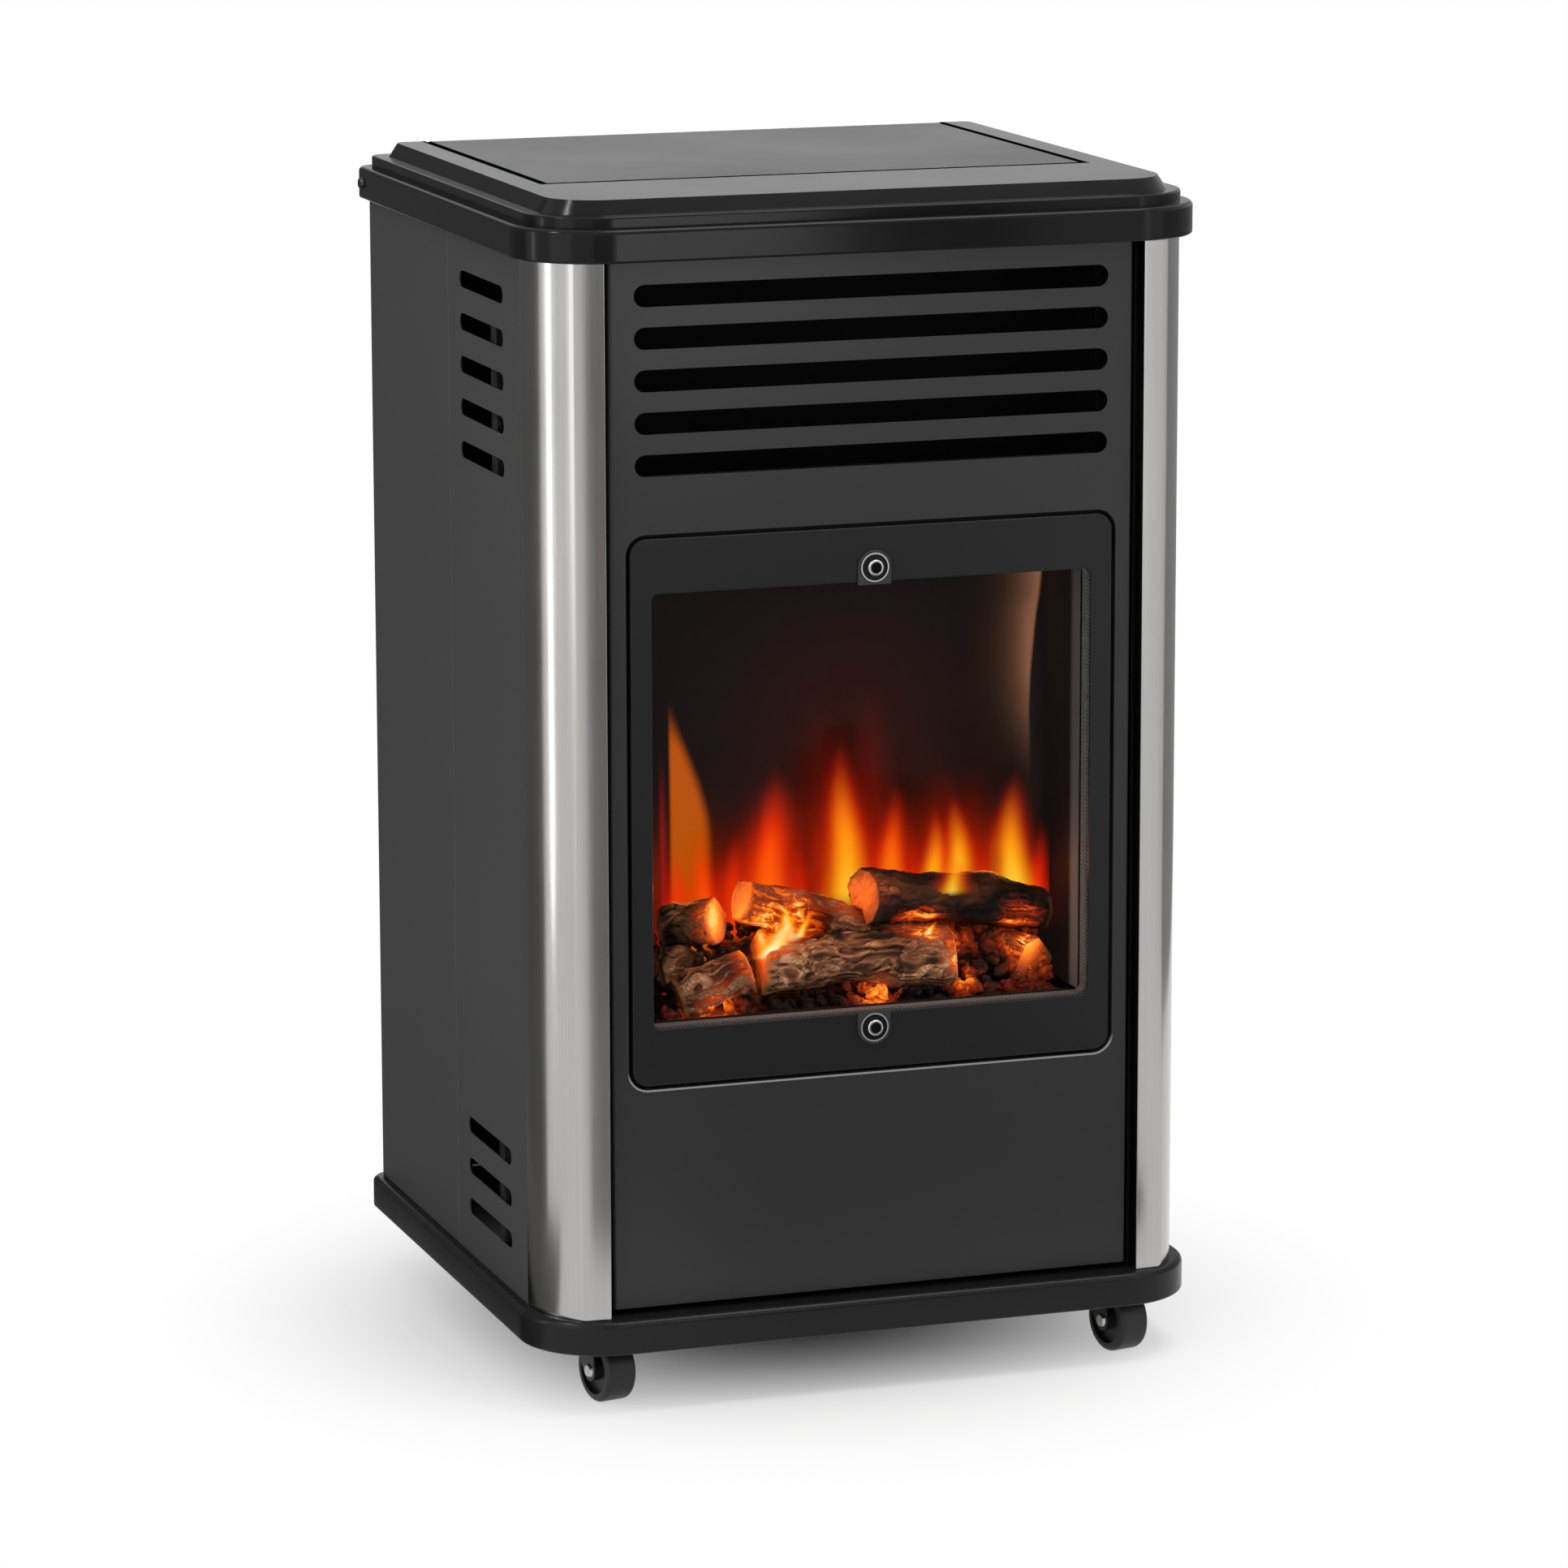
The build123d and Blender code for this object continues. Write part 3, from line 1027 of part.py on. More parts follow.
# ---------------------------------------------------------------- top cover
PLATFORM_TAPER = degrees(atan2(PLATFORM_SLOPE, PLATFORM_HEIGHT))
SHELF_Z = LID_SEAT_Z - WELL_WALL
HINGE_CHANNEL_Z = HINGE_Z - LID_BARREL_RADIUS - LID_GAP / 2
HINGE_BLOCK_X = LID_WIDTH / 2 + LID_GAP + PIN_BOSS
HINGE_BLOCK_FRONT_Y = WELL_REAR_Y
HINGE_BLOCK_REAR_Y = HINGE_Y + LID_BARREL_RADIUS - SHEET
LID_OPENING_X = LID_WIDTH / 2 + LID_GAP

with BuildPart() as top_cover:
    with BuildSketch(Plane.XY.offset(RIM_Z)):
        plan_outline(RIM_OVERHANG, RIM_FRONT_RADIUS, RIM_REAR_RADIUS)
    extrude(amount=RIM_HEIGHT)
    fillet(top_cover.edges().group_by(Axis.Z)[-1], radius=RIM_TOP_ROUND)
    fillet(top_cover.edges().group_by(Axis.Z)[0], radius=RIM_FOOT_ROUND)
    with BuildSketch(Plane.XY.offset(LEDGE_Z)):
        ledge_grow = RIM_OVERHANG - LEDGE_INSET
        plan_outline(ledge_grow, RIM_FRONT_RADIUS - LEDGE_INSET, RIM_REAR_RADIUS - LEDGE_INSET / 2)
    extrude(amount=LEDGE_HEIGHT)
    fillet(top_cover.edges().group_by(Axis.Z)[-1], radius=LEDGE_ROUND)
    with BuildSketch(Plane.XY.offset(PLATFORM_Z)):
        plan_outline(RIM_OVERHANG - PLATFORM_INSET, RIM_FRONT_RADIUS - PLATFORM_INSET, PLATFORM_REAR_RADIUS)
    extrude(amount=PLATFORM_HEIGHT, taper=PLATFORM_TAPER)
    # hollow underside, one step under each step of the top
    lip_grow = -COVER_LIP_WIDTH
    rim_grow = RIM_OVERHANG - COVER_WALL
    ledge_grow = rim_grow - LEDGE_INSET
    platform_grow = rim_grow - PLATFORM_INSET - PLATFORM_SLOPE
    hollow = (
        (RIM_Z, RIM_Z + COVER_LIP, lip_grow),
        (RIM_Z + COVER_LIP, LEDGE_Z - COVER_WALL, rim_grow),
        (LEDGE_Z - COVER_WALL, PLATFORM_Z - COVER_WALL, ledge_grow),
        (PLATFORM_Z - COVER_WALL, TOP_Z - COVER_WALL, platform_grow),
    )
    for foot_z, head_z, grow in hollow:
        with BuildSketch(Plane.XY.offset(foot_z)):
            plan_outline(grow, RIM_FRONT_RADIUS - RIM_OVERHANG + grow, RIM_REAR_RADIUS / 2)
        extrude(amount=head_z - foot_z, mode=Mode.SUBTRACT)
    # walls of the lid seat, the control well and the hinge bosses
    block(-LID_OPENING_X - WELL_WALL, LID_OPENING_X + WELL_WALL, LID_EDGE_Y - LID_GAP - WELL_WALL,
          HINGE_BLOCK_FRONT_Y + WELL_WALL, SHELF_Z, TOP_Z)
    block(-WELL_X - WELL_WALL, WELL_X + WELL_WALL, WELL_FRONT_Y - WELL_WALL, WELL_REAR_Y + WELL_WALL,
          WELL_FLOOR_Z - WELL_WALL, SHELF_Z)
    block(-HINGE_BLOCK_X, HINGE_BLOCK_X, HINGE_BLOCK_FRONT_Y, HINGE_BLOCK_REAR_Y,
          HINGE_CHANNEL_Z - WELL_WALL, TOP_Z - SHEET)
    # recess of the lid, channel of its barrel, well
    block(-LID_OPENING_X, LID_OPENING_X, LID_EDGE_Y - LID_GAP, REAR_Y + RIM_OVERHANG, LID_SEAT_Z, TOP_Z,
          mode=Mode.SUBTRACT)
    block(-LID_OPENING_X, LID_OPENING_X, HINGE_Y - LID_BARREL_RADIUS - LID_GAP / 2, REAR_Y + RIM_OVERHANG,
          HINGE_CHANNEL_Z, TOP_Z, mode=Mode.SUBTRACT)
    block(-WELL_X, WELL_X, WELL_FRONT_Y, WELL_REAR_Y, WELL_FLOOR_Z, TOP_Z, mode=Mode.SUBTRACT)
    with BuildSketch(side_plane(-HINGE_BLOCK_X + SHEET)):
        with Locations((HINGE_Y, HINGE_Z)):
            Circle(LID_PIN_RADIUS + RUNNING_FIT)
    extrude(amount=2 * (HINGE_BLOCK_X - SHEET), mode=Mode.SUBTRACT)
    with BuildSketch(Plane.XY.offset(WELL_FLOOR_Z)):
        with Locations((VALVE_X, VALVE_LINE_Y)):
            Circle(SPINDLE_RADIUS + SPINDLE_HOLE_GAP)
        with Locations((IGNITER_X, VALVE_LINE_Y)):
            Circle(IGNITER_RADIUS)
    extrude(amount=-WELL_WALL, mode=Mode.SUBTRACT)
    with BuildSketch(side_plane(-SIDE_X - RIM_OVERHANG)):
        with Locations((REAR_Y - RIM_SCREW_INSET, RIM_Z + RIM_HEIGHT / 2)):
            Circle(RIM_SCREW_RADIUS)
    extrude(amount=BODY_WIDTH + 2 * RIM_OVERHANG, mode=Mode.SUBTRACT)
finish(top_cover, "top_cover")

with BuildPart() as rim_screws:
    screw_y = REAR_Y - RIM_SCREW_INSET
    screw_z = RIM_Z + RIM_HEIGHT / 2
    rim_x = SIDE_X + RIM_OVERHANG
    for head_x, way in ((-rim_x, -1), (rim_x, 1)):
        with BuildSketch(side_plane(head_x)):
            with Locations((screw_y, screw_z)):
                Circle(RIM_SCREW_HEAD_RADIUS)
        extrude(amount=way * RIM_SCREW_HEAD, taper=RIM_SCREW_TAPER)
        with BuildSketch(side_plane(head_x)):
            with Locations((screw_y, screw_z)):
                Circle(RIM_SCREW_RADIUS)
        extrude(amount=-way * 2 * COVER_WALL)
finish(rim_screws, "rim_screws")

# ---------------------------------------------------------------- lid
with BuildPart() as lid_flap:
    block(-LID_WIDTH / 2, LID_WIDTH / 2, LID_EDGE_Y, HINGE_Y, LID_Z, TOP_Z)
    fillet(lid_flap.edges().filter_by(Axis.Z).group_by(Axis.Y)[0], radius=LID_RIB)
    with BuildSketch(side_plane(-LID_WIDTH / 2)):
        with Locations((HINGE_Y, HINGE_Z)):
            Circle(LID_BARREL_RADIUS)
    extrude(amount=LID_WIDTH)
    with BuildSketch(Plane.XY.offset(LID_Z)):
        rib_x = WELL_X - LID_RIB_GAP
        rib_depth = WELL_REAR_Y - WELL_FRONT_Y - 2 * LID_RIB_GAP
        with Locations((0, (WELL_FRONT_Y + WELL_REAR_Y) / 2)):
            Rectangle(2 * rib_x, rib_depth)
            Rectangle(2 * (rib_x - LID_RIB), rib_depth - 2 * LID_RIB, mode=Mode.SUBTRACT)
    extrude(amount=-LID_RIB_DEPTH)
    with BuildSketch(side_plane(-LID_WIDTH / 2)):
        with Locations((HINGE_Y, HINGE_Z)):
            Circle(LID_PIN_RADIUS)
    extrude(amount=LID_PIN_GRIP, mode=Mode.SUBTRACT)
    with BuildSketch(side_plane(LID_WIDTH / 2)):
        with Locations((HINGE_Y, HINGE_Z)):
            Circle(LID_PIN_RADIUS)
    extrude(amount=-LID_PIN_GRIP, mode=Mode.SUBTRACT)
finish(lid_flap, "lid_flap")

with BuildPart() as lid_hinge_pins:
    for pin_x, way in ((-LID_WIDTH / 2 + LID_PIN_GRIP, -1), (LID_WIDTH / 2 - LID_PIN_GRIP, 1)):
        with BuildSketch(side_plane(pin_x)):
            with Locations((HINGE_Y, HINGE_Z)):
                Circle(LID_PIN_RADIUS)
        extrude(amount=way * LID_PIN_LENGTH)
finish(lid_hinge_pins, "lid_hinge_pins")

# ---------------------------------------------------------------- controls
PLATE_TOP_Z = WELL_FLOOR_Z + PLATE_SHEET
KNOB_Z = PLATE_TOP_Z + KNOB_LIFT + KNOB_TRAVEL
BUTTON_TOP_Z = PLATE_TOP_Z + IGNITER_BEZEL + BUTTON_PROUD
BUTTON_FOOT_Z = BUTTON_TOP_Z - BUTTON_LENGTH

with BuildPart() as control_plate:
    with BuildSketch(Plane.XY.offset(WELL_FLOOR_Z)):
        with Locations((0, VALVE_LINE_Y)):
            RectangleRounded(PLATE_WIDTH, PLATE_DEPTH, PLATE_RADIUS)
        with Locations((VALVE_X, VALVE_LINE_Y)):
            Circle(SPINDLE_RADIUS + SPINDLE_HOLE_GAP, mode=Mode.SUBTRACT)
        with Locations((IGNITER_X, VALVE_LINE_Y)):
            Circle(IGNITER_RADIUS, mode=Mode.SUBTRACT)
    extrude(amount=PLATE_SHEET)
finish(control_plate, "control_plate")

with BuildPart() as valve_spindle:
    spindle_foot_z = PLUG_Z + KNOB_TRAVEL + SHEET
    spindle_top_z = KNOB_Z + KNOB_SKIRT + KNOB_HEIGHT / 4
    with BuildSketch(Plane.XY.offset(spindle_foot_z)):
        spindle_section(SPINDLE_RADIUS, SPINDLE_FLAT)
    extrude(amount=spindle_top_z - spindle_foot_z)
finish(valve_spindle, "valve_spindle")

with BuildPart() as control_knob:
    with BuildSketch(Plane.XY.offset(KNOB_Z)):
        with Locations((VALVE_X, VALVE_LINE_Y)):
            Circle(KNOB_RADIUS)
            with PolarLocations(KNOB_RADIUS, KNOB_FLUTES):
                Circle(KNOB_FLUTE_RADIUS, mode=Mode.SUBTRACT)
    extrude(amount=KNOB_SKIRT)
    with BuildSketch(Plane.XY.offset(KNOB_Z + KNOB_SKIRT)):
        with Locations((VALVE_X, VALVE_LINE_Y)):
            SlotOverall(2 * (KNOB_RADIUS - 2 * KNOB_FLUTE_RADIUS), KNOB_GRIP_WIDTH, rotation=90)
    extrude(amount=KNOB_HEIGHT - KNOB_SKIRT)
    fillet(control_knob.edges().group_by(Axis.Z)[-1], radius=2 * KNOB_FLUTE_RADIUS)
    with BuildSketch(Plane.XY.offset(KNOB_Z)):
        spindle_section(SPINDLE_RADIUS, SPINDLE_FLAT)
    extrude(amount=spindle_top_z - KNOB_Z, mode=Mode.SUBTRACT)
finish(control_knob, "control_knob")

with BuildPart() as igniter_body:
    bezel_top_z = PLATE_TOP_Z + IGNITER_BEZEL
    with BuildSketch(Plane.XY.offset(PLATE_TOP_Z - IGNITER_LENGTH)):
        with Locations((IGNITER_X, VALVE_LINE_Y)):
            Circle(IGNITER_RADIUS)
    extrude(amount=IGNITER_LENGTH)
    with BuildSketch(Plane.XY.offset(PLATE_TOP_Z)):
        with Locations((IGNITER_X, VALVE_LINE_Y)):
            Circle(IGNITER_BEZEL_RADIUS)
    extrude(amount=IGNITER_BEZEL)
    chamfer(igniter_body.edges().group_by(Axis.Z)[-1], length=IGNITER_BEZEL / 3)
    with BuildSketch(Plane.XY.offset(bezel_top_z)):
        with Locations((IGNITER_X, VALVE_LINE_Y)):
            Circle(BUTTON_RADIUS + BUTTON_FIT)
    extrude(amount=BUTTON_FOOT_Z - BUTTON_TRAVEL - SEAT_GAP - bezel_top_z, mode=Mode.SUBTRACT)
finish(igniter_body, "igniter_body")

with BuildPart() as igniter_button:
    with BuildSketch(Plane.XY.offset(BUTTON_FOOT_Z)):
        with Locations((IGNITER_X, VALVE_LINE_Y)):
            Circle(BUTTON_RADIUS)
    extrude(amount=BUTTON_LENGTH)
    fillet(igniter_button.edges().group_by(Axis.Z)[-1], radius=BUTTON_RADIUS / 4)
finish(igniter_button, "igniter_button")

# ---------------------------------------------------------------- rear cover
REAR_FRONT_Y = SIDE_END_Y + COVER_GAP
REAR_FOOT_Z = BODY_Z + SEAT_GAP
REAR_HEIGHT = BODY_HEIGHT - 2 * SEAT_GAP
VENT_HEIGHTS = [RIM_Z - REAR_VENT_TOP_DROP - i * REAR_VENT_PITCH for i in range(REAR_VENT_COUNT)]
VENT_HEIGHTS += [BODY_Z + REAR_VENT_FOOT_RISE + i * REAR_VENT_PITCH for i in range(REAR_VENT_COUNT)]

with BuildPart() as rear_cover:
    block(-SIDE_X, SIDE_X, REAR_FRONT_Y, REAR_Y, REAR_FOOT_Z, REAR_FOOT_Z + REAR_HEIGHT)
    fillet(rear_cover.edges().filter_by(Axis.Z).group_by(Axis.Y)[-1], radius=REAR_ROUND)
    with BuildSketch(Plane.XY.offset(REAR_FOOT_Z)):
        span(-SIDE_X + SHEET, SIDE_X - SHEET, REAR_FRONT_Y + SHEET, REAR_Y - SHEET)
        fillet(vertices().group_by(Axis.Y)[-1], radius=REAR_ROUND - SHEET)
        span(-SIDE_X + REAR_FLANGE, SIDE_X - REAR_FLANGE, REAR_FRONT_Y, REAR_FRONT_Y + 2 * SHEET)
    extrude(amount=REAR_HEIGHT, mode=Mode.SUBTRACT)
    with BuildSketch(front_plane(REAR_Y)):
        vent_places = [(side * (REAR_VENT_LENGTH / 2 + REAR_VENT_PITCH), height)
                       for height in VENT_HEIGHTS for side in (-1, 1)]
        with Locations(*vent_places):
            SlotOverall(REAR_VENT_LENGTH, REAR_VENT_HEIGHT)
        with Locations((0, RIM_Z - GRIP_DROP)):
            SlotOverall(GRIP_WIDTH, GRIP_HEIGHT)
    extrude(amount=SHEET, mode=Mode.SUBTRACT)
finish(rear_cover, "rear_cover")
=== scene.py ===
import math

import bmesh
import bpy
from mathutils import Euler, Matrix, Vector, noise


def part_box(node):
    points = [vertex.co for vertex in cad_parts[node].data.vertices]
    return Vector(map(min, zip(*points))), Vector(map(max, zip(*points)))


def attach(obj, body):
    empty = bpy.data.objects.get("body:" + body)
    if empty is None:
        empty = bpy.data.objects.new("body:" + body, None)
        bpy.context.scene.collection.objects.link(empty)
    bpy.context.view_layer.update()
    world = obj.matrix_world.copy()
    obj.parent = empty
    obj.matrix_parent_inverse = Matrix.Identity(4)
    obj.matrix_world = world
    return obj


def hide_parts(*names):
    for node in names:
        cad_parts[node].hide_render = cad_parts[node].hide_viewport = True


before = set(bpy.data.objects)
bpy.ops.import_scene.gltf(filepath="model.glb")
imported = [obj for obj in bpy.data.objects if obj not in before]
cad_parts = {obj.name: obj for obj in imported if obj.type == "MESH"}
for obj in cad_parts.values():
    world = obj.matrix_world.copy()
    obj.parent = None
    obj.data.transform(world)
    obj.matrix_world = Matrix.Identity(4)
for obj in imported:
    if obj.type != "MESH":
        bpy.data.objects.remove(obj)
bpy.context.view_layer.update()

# ---------------------------------------------------------------- studio
# A pale seamless floor under a white sky, with a large soft box on the left, a narrow one for the
# left corner, two overhead and two in front on the right. Black and grey cards, which only shiny
# surfaces show, give the steel and the mouldings their dark bands. The floor keeps the soft shadow.
CAMERA_PLACE = (-1.3377, -3.9275, 1.1843)
CAMERA_YAW = 18.882
CAMERA_PITCH = 11.480
CAMERA_ROLL = -0.109
PHOTO_SIZE = 1932
FOCAL_PIXELS = 8245.1
FILM_WIDTH = 36.0

FLOOR_HALF = 9.0
FLOOR_SIDES = 96
SHADOW_REACH = 0.05
WHITE_REACH = 0.42
SKY_LIGHT = (0.56, 0.56, 0.565, 1.0)
CARD_FOOT = -0.02
CARD_HEAD = 1.0
LOW_CARD_HEAD = 0.70
CARD_LIFT = 0.003


class Signal:
    """An output of a shader node, with arithmetic on it."""

    def __init__(self, finish, socket):
        self.finish = finish
        self.socket = socket

    def __abs__(self):
        return self.finish.math("ABSOLUTE", self)

    def __add__(self, other):
        return self.finish.math("ADD", self, other)

    __radd__ = __add__

    def __sub__(self, other):
        return self.finish.math("SUBTRACT", self, other)

    def __rsub__(self, other):
        return self.finish.math("SUBTRACT", other, self)

    def __mul__(self, other):
        return self.finish.math("MULTIPLY", self, other)

    __rmul__ = __mul__

    def __truediv__(self, other):
        return self.finish.math("DIVIDE", self, other)

    def __rtruediv__(self, other):
        return self.finish.math("DIVIDE", other, self)

    def __pow__(self, other):
        return self.finish.math("POWER", self, other)

    def __rpow__(self, other):
        return self.finish.math("POWER", other, self)


class Finish:
    """The node tree of a material or a world while it is being mixed."""

    def __init__(self, owner):
        owner.use_nodes = True
        self.owner = owner
        self.tree = owner.node_tree
        self.surface = self.tree.nodes.get("Principled BSDF")

    def node(self, kind, settings, sockets, output=0):
        """Adds a node: its settings first, then the values or links of its sockets."""
        made = self.tree.nodes.new("ShaderNode" + kind)
        for key, value in settings.items():
            if key == "stops":
                while len(made.color_ramp.elements) < len(value):
                    made.color_ramp.elements.new(1.0)
                for element, (position, colour) in zip(made.color_ramp.elements, value):
                    element.position = position
                    element.color = colour
            else:
                setattr(made, key, value)
        self.connect(made, sockets)
        return Signal(self, made.outputs[output])

    def connect(self, node, sockets):
        for key, value in sockets.items():
            if isinstance(value, Signal):
                self.tree.links.new(value.socket, node.inputs[key])
            else:
                node.inputs[key].default_value = value

    def shade(self, sockets):
        """Sets or links sockets of the surface shader."""
        self.connect(self.surface, sockets)

    def fed(self, socket):
        """What feeds a socket of the surface shader so far."""
        return Signal(self, self.surface.inputs[socket].links[0].from_socket)

    def math(self, operation, *values):
        return self.node("Math", {"operation": operation}, dict(enumerate(values)))

    def place(self):
        return self.node("TexCoord", {}, {}, output="Object")

    def along(self, axis):
        """Place along X, Y or Z, in metres."""
        return self.node("SeparateXYZ", {}, {0: self.place()}, output=axis)

    def mark(self, name, output="Color"):
        """What a mesh was marked with at its vertices."""
        return self.node("Attribute", {"attribute_name": name}, {}, output=output)

    def channel(self, colour, index):
        """Red, green or blue of a colour."""
        return self.node("SeparateColor", {}, {"Color": colour}, output=index)

    def cloud(self, place, scale, detail=2.0, roughness=0.5):
        """Noise between 0 and 1. The scale is in waves per metre."""
        sockets = {"Vector": place, "Scale": scale, "Detail": detail, "Roughness": roughness}
        return self.node("TexNoise", {}, sockets)

    def stretch(self, place, scale):
        return self.node("VectorMath", {"operation": "MULTIPLY"}, {0: place, 1: scale})

    def rise(self, value, low, high):
        """Smooth step from 0 at low to 1 at high."""
        sockets = {"Value": value, "From Min": low, "From Max": high}
        return self.node("MapRange", {"interpolation_type": "SMOOTHSTEP"}, sockets)

    def fall(self, value, low, high):
        """Smooth step from 1 at low to 0 at high."""
        return 1 - self.rise(value, low, high)

    def band(self, value, low, high, blur):
        """1 between low and high, with blurred edges outside them."""
        return self.rise(value, low - blur, low) * self.fall(value, high, high + blur)

    def blend(self, share, first, second):
        """Colour between two colours."""
        return self.node("Mix", {"data_type": "RGBA"}, {0: share, 6: first, 7: second}, output=2)

    def ramp(self, value, stops):
        return self.node("ValToRGB", {"stops": stops}, {0: value})

    def bump(self, height, depth):
        """Normal of a relief that is so many metres deep."""
        return self.node("Bump", {}, {"Height": height, "Distance": depth, "Strength": 1.0})


def new_finish(name):
    return Finish(bpy.data.materials.new(name))


def grey(tone):
    """Neutral colour of one tone."""
    return (tone, tone, tone, 1.0)


def white_rays(finish):
    """1 for the rays that show the white background: the camera's, and those from metal and glass."""
    camera, glossy, passing = (finish.node("LightPath", {}, {}, output=ray)
                               for ray in ("Is Camera Ray", "Is Glossy Ray", "Is Transmission Ray"))
    return finish.node("Math", {"operation": "ADD", "use_clamp": True}, {0: camera + glossy, 1: passing})


def new_mesh(shape, name):
    """Turns a bmesh into a mesh and frees it."""
    mesh = bpy.data.meshes.new(name)
    shape.to_mesh(mesh)
    shape.free()
    return mesh


def new_object(name, data):
    made = bpy.data.objects.new(name, data)
    bpy.context.scene.collection.objects.link(made)
    return made


sky = bpy.data.worlds.new("studio_sky")
bpy.context.scene.world = sky
sky_finish = Finish(sky)
sky_colour = sky_finish.blend(white_rays(sky_finish), SKY_LIGHT, grey(1.0))
sky_finish.connect(sky_finish.tree.nodes["Background"], {"Color": sky_colour, "Strength": 1.0})

floor_finish = new_finish("studio_floor")
floor_place = floor_finish.place()
floor_distance = floor_finish.node("VectorMath", {"operation": "LENGTH"}, {0: floor_place}, output="Value")
floor_white = floor_finish.rise(floor_distance, SHADOW_REACH, WHITE_REACH) * white_rays(floor_finish)
floor_grain = floor_finish.cloud(floor_place, 40.0)
floor_finish.shade({
    "Base Color": floor_finish.blend(floor_grain, grey(0.93), grey(0.94)),
    "Roughness": 0.9,
    "Specular IOR Level": 0.0,
})
floor_glow = floor_finish.node("Emission", {}, {"Color": grey(1.0), "Strength": 1.0})
floor_matt = Signal(floor_finish, floor_finish.surface.outputs[0])
floor_mix = floor_finish.node("MixShader", {}, {0: floor_white, 1: floor_matt, 2: floor_glow})
floor_finish.connect(floor_finish.tree.nodes["Material Output"], {"Surface": floor_mix})

floor_shape = bmesh.new()
bmesh.ops.create_circle(floor_shape, cap_ends=True, radius=FLOOR_HALF, segments=FLOOR_SIDES)
studio_floor = new_object("studio_floor", new_mesh(floor_shape, "studio_floor"))
studio_floor.data.materials.append(floor_finish.owner)


def area_lamp(name, place, direction, width, height, energy):
    """Rectangular lamp that shines in a direction."""
    lamp = bpy.data.lights.new(name, "AREA")
    lamp.shape = "RECTANGLE"
    lamp.size = width
    lamp.size_y = height
    lamp.energy = energy
    holder = new_object(name, lamp)
    holder.location = place
    holder.rotation_euler = Vector(direction).to_track_quat("-Z", "Y").to_euler()
    return holder


def soft_box(name, place, aim, width, height, glow):
    """Soft box of an even glow, turned towards a point."""
    direction = Vector(aim) - Vector(place)
    return area_lamp(name, place, direction, width, height, glow * math.pi * width * height)


soft_box("key_box", (-2.15, -1.25, 1.1), (0.0, 0.0, 0.4), 1.3, 2.2, 1.1)
soft_box("corner_box", (-1.45, 0.10, 0.55), (-0.2, -0.17, 0.35), 0.09, 1.1, 5.0)
soft_box("strip_box", (1.05, -1.45, 0.75), (0.18, -0.19, 0.35), 0.18, 1.3, 1.6)
soft_box("rim_box", (0.19, -1.18, 0.64), (0.05, -0.19, 0.66), 0.22, 0.27, 4.5)
soft_box("top_box", (0.60, -0.40, 2.7), (0.0, 0.0, 0.7), 1.1, 1.1, 6.0)

# The small box overhead only puts a spark on shiny edges.
high_box = soft_box("high_box", (-1.55, -0.32, 2.2), (-0.15, -0.15, 0.73), 0.20, 0.20, 90.0)
high_box.visible_diffuse = False


def felt(name, dark, light):
    """Matt card of one grey."""
    card_finish = new_finish(name)
    fibre = card_finish.cloud(card_finish.place(), 200.0)
    card_finish.shade({
        "Base Color": card_finish.blend(fibre, grey(dark), grey(light)),
        "Roughness": 1.0,
        "Specular IOR Level": 0.0,
    })
    return card_finish


black_felt = felt("black_felt", 0.004, 0.008)
dark_felt = felt("dark_felt", 0.16, 0.22)
grey_felt = felt("grey_felt", 0.42, 0.48)
pale_felt = felt("pale_felt", 0.84, 0.90)


def card(name, finish, corners):
    """Card between four points, seen by shiny surfaces alone."""
    card_shape = bmesh.new()
    card_shape.faces.new([card_shape.verts.new(corner) for corner in corners])
    board = new_object(name, new_mesh(card_shape, name))
    board.data.materials.append(finish.owner)
    board.visible_camera = False
    board.visible_diffuse = False
    board.visible_shadow = False
    board.visible_transmission = False


def upright(left, right, head, foot=CARD_FOOT):
    """Corners of an upright card between two floor points."""
    return [(*left, foot), (*right, foot), (*right, head), (*left, head)]


def lying(left, right, front, rear):
    """Corners of a card that lies on the floor."""
    return [(x, y, CARD_LIFT) for x, y in ((left, front), (right, front), (right, rear), (left, rear))]


card("front_card", black_felt, upright((0.13, -1.25), (0.50, -1.25), CARD_HEAD))
card("front_floor_card", black_felt, lying(-0.02, 0.46, -1.25, -0.42))
card("side_card", dark_felt, upright((-0.60, 0.02), (-0.22, 1.30), CARD_HEAD))
card("side_floor_card", dark_felt, lying(-0.60, -0.34, -0.14, 0.90))
card("side_foot_card", black_felt, lying(-0.34, -0.24, -0.14, 0.90))
card("crease_card", grey_felt, upright((-0.285, -0.55), (-0.115, -0.55), LOW_CARD_HEAD))
card("rear_card", pale_felt, upright((-2.5, 3.0), (3.5, 3.0), 3.5, foot=0.95))
card("right_card", grey_felt, upright((1.15, -0.75), (0.80, 2.20), LOW_CARD_HEAD))

camera_data = bpy.data.cameras.new("photo_camera")
camera_data.lens = FOCAL_PIXELS / PHOTO_SIZE * FILM_WIDTH
camera_data.sensor_width = FILM_WIDTH
photo_camera = new_object("photo_camera", camera_data)
photo_camera.location = CAMERA_PLACE
camera_turn = Euler((math.pi / 2 - math.radians(CAMERA_PITCH), 0.0, -math.radians(CAMERA_YAW)))
camera_lean = Matrix.Rotation(math.radians(CAMERA_ROLL), 3, "Z")
photo_camera.rotation_euler = (camera_turn.to_matrix() @ camera_lean).to_euler()
bpy.context.scene.camera = photo_camera
bpy.context.scene.view_settings.view_transform = "Standard"

# ---------------------------------------------------------------- base tray
# Near-black moulded tray that the steel cabinet is screwed to. It has a rounded rim in front, a
# ribbed underside and a shallow seat for the bottle's foot ring. Semi-gloss, as it leaves the mould.


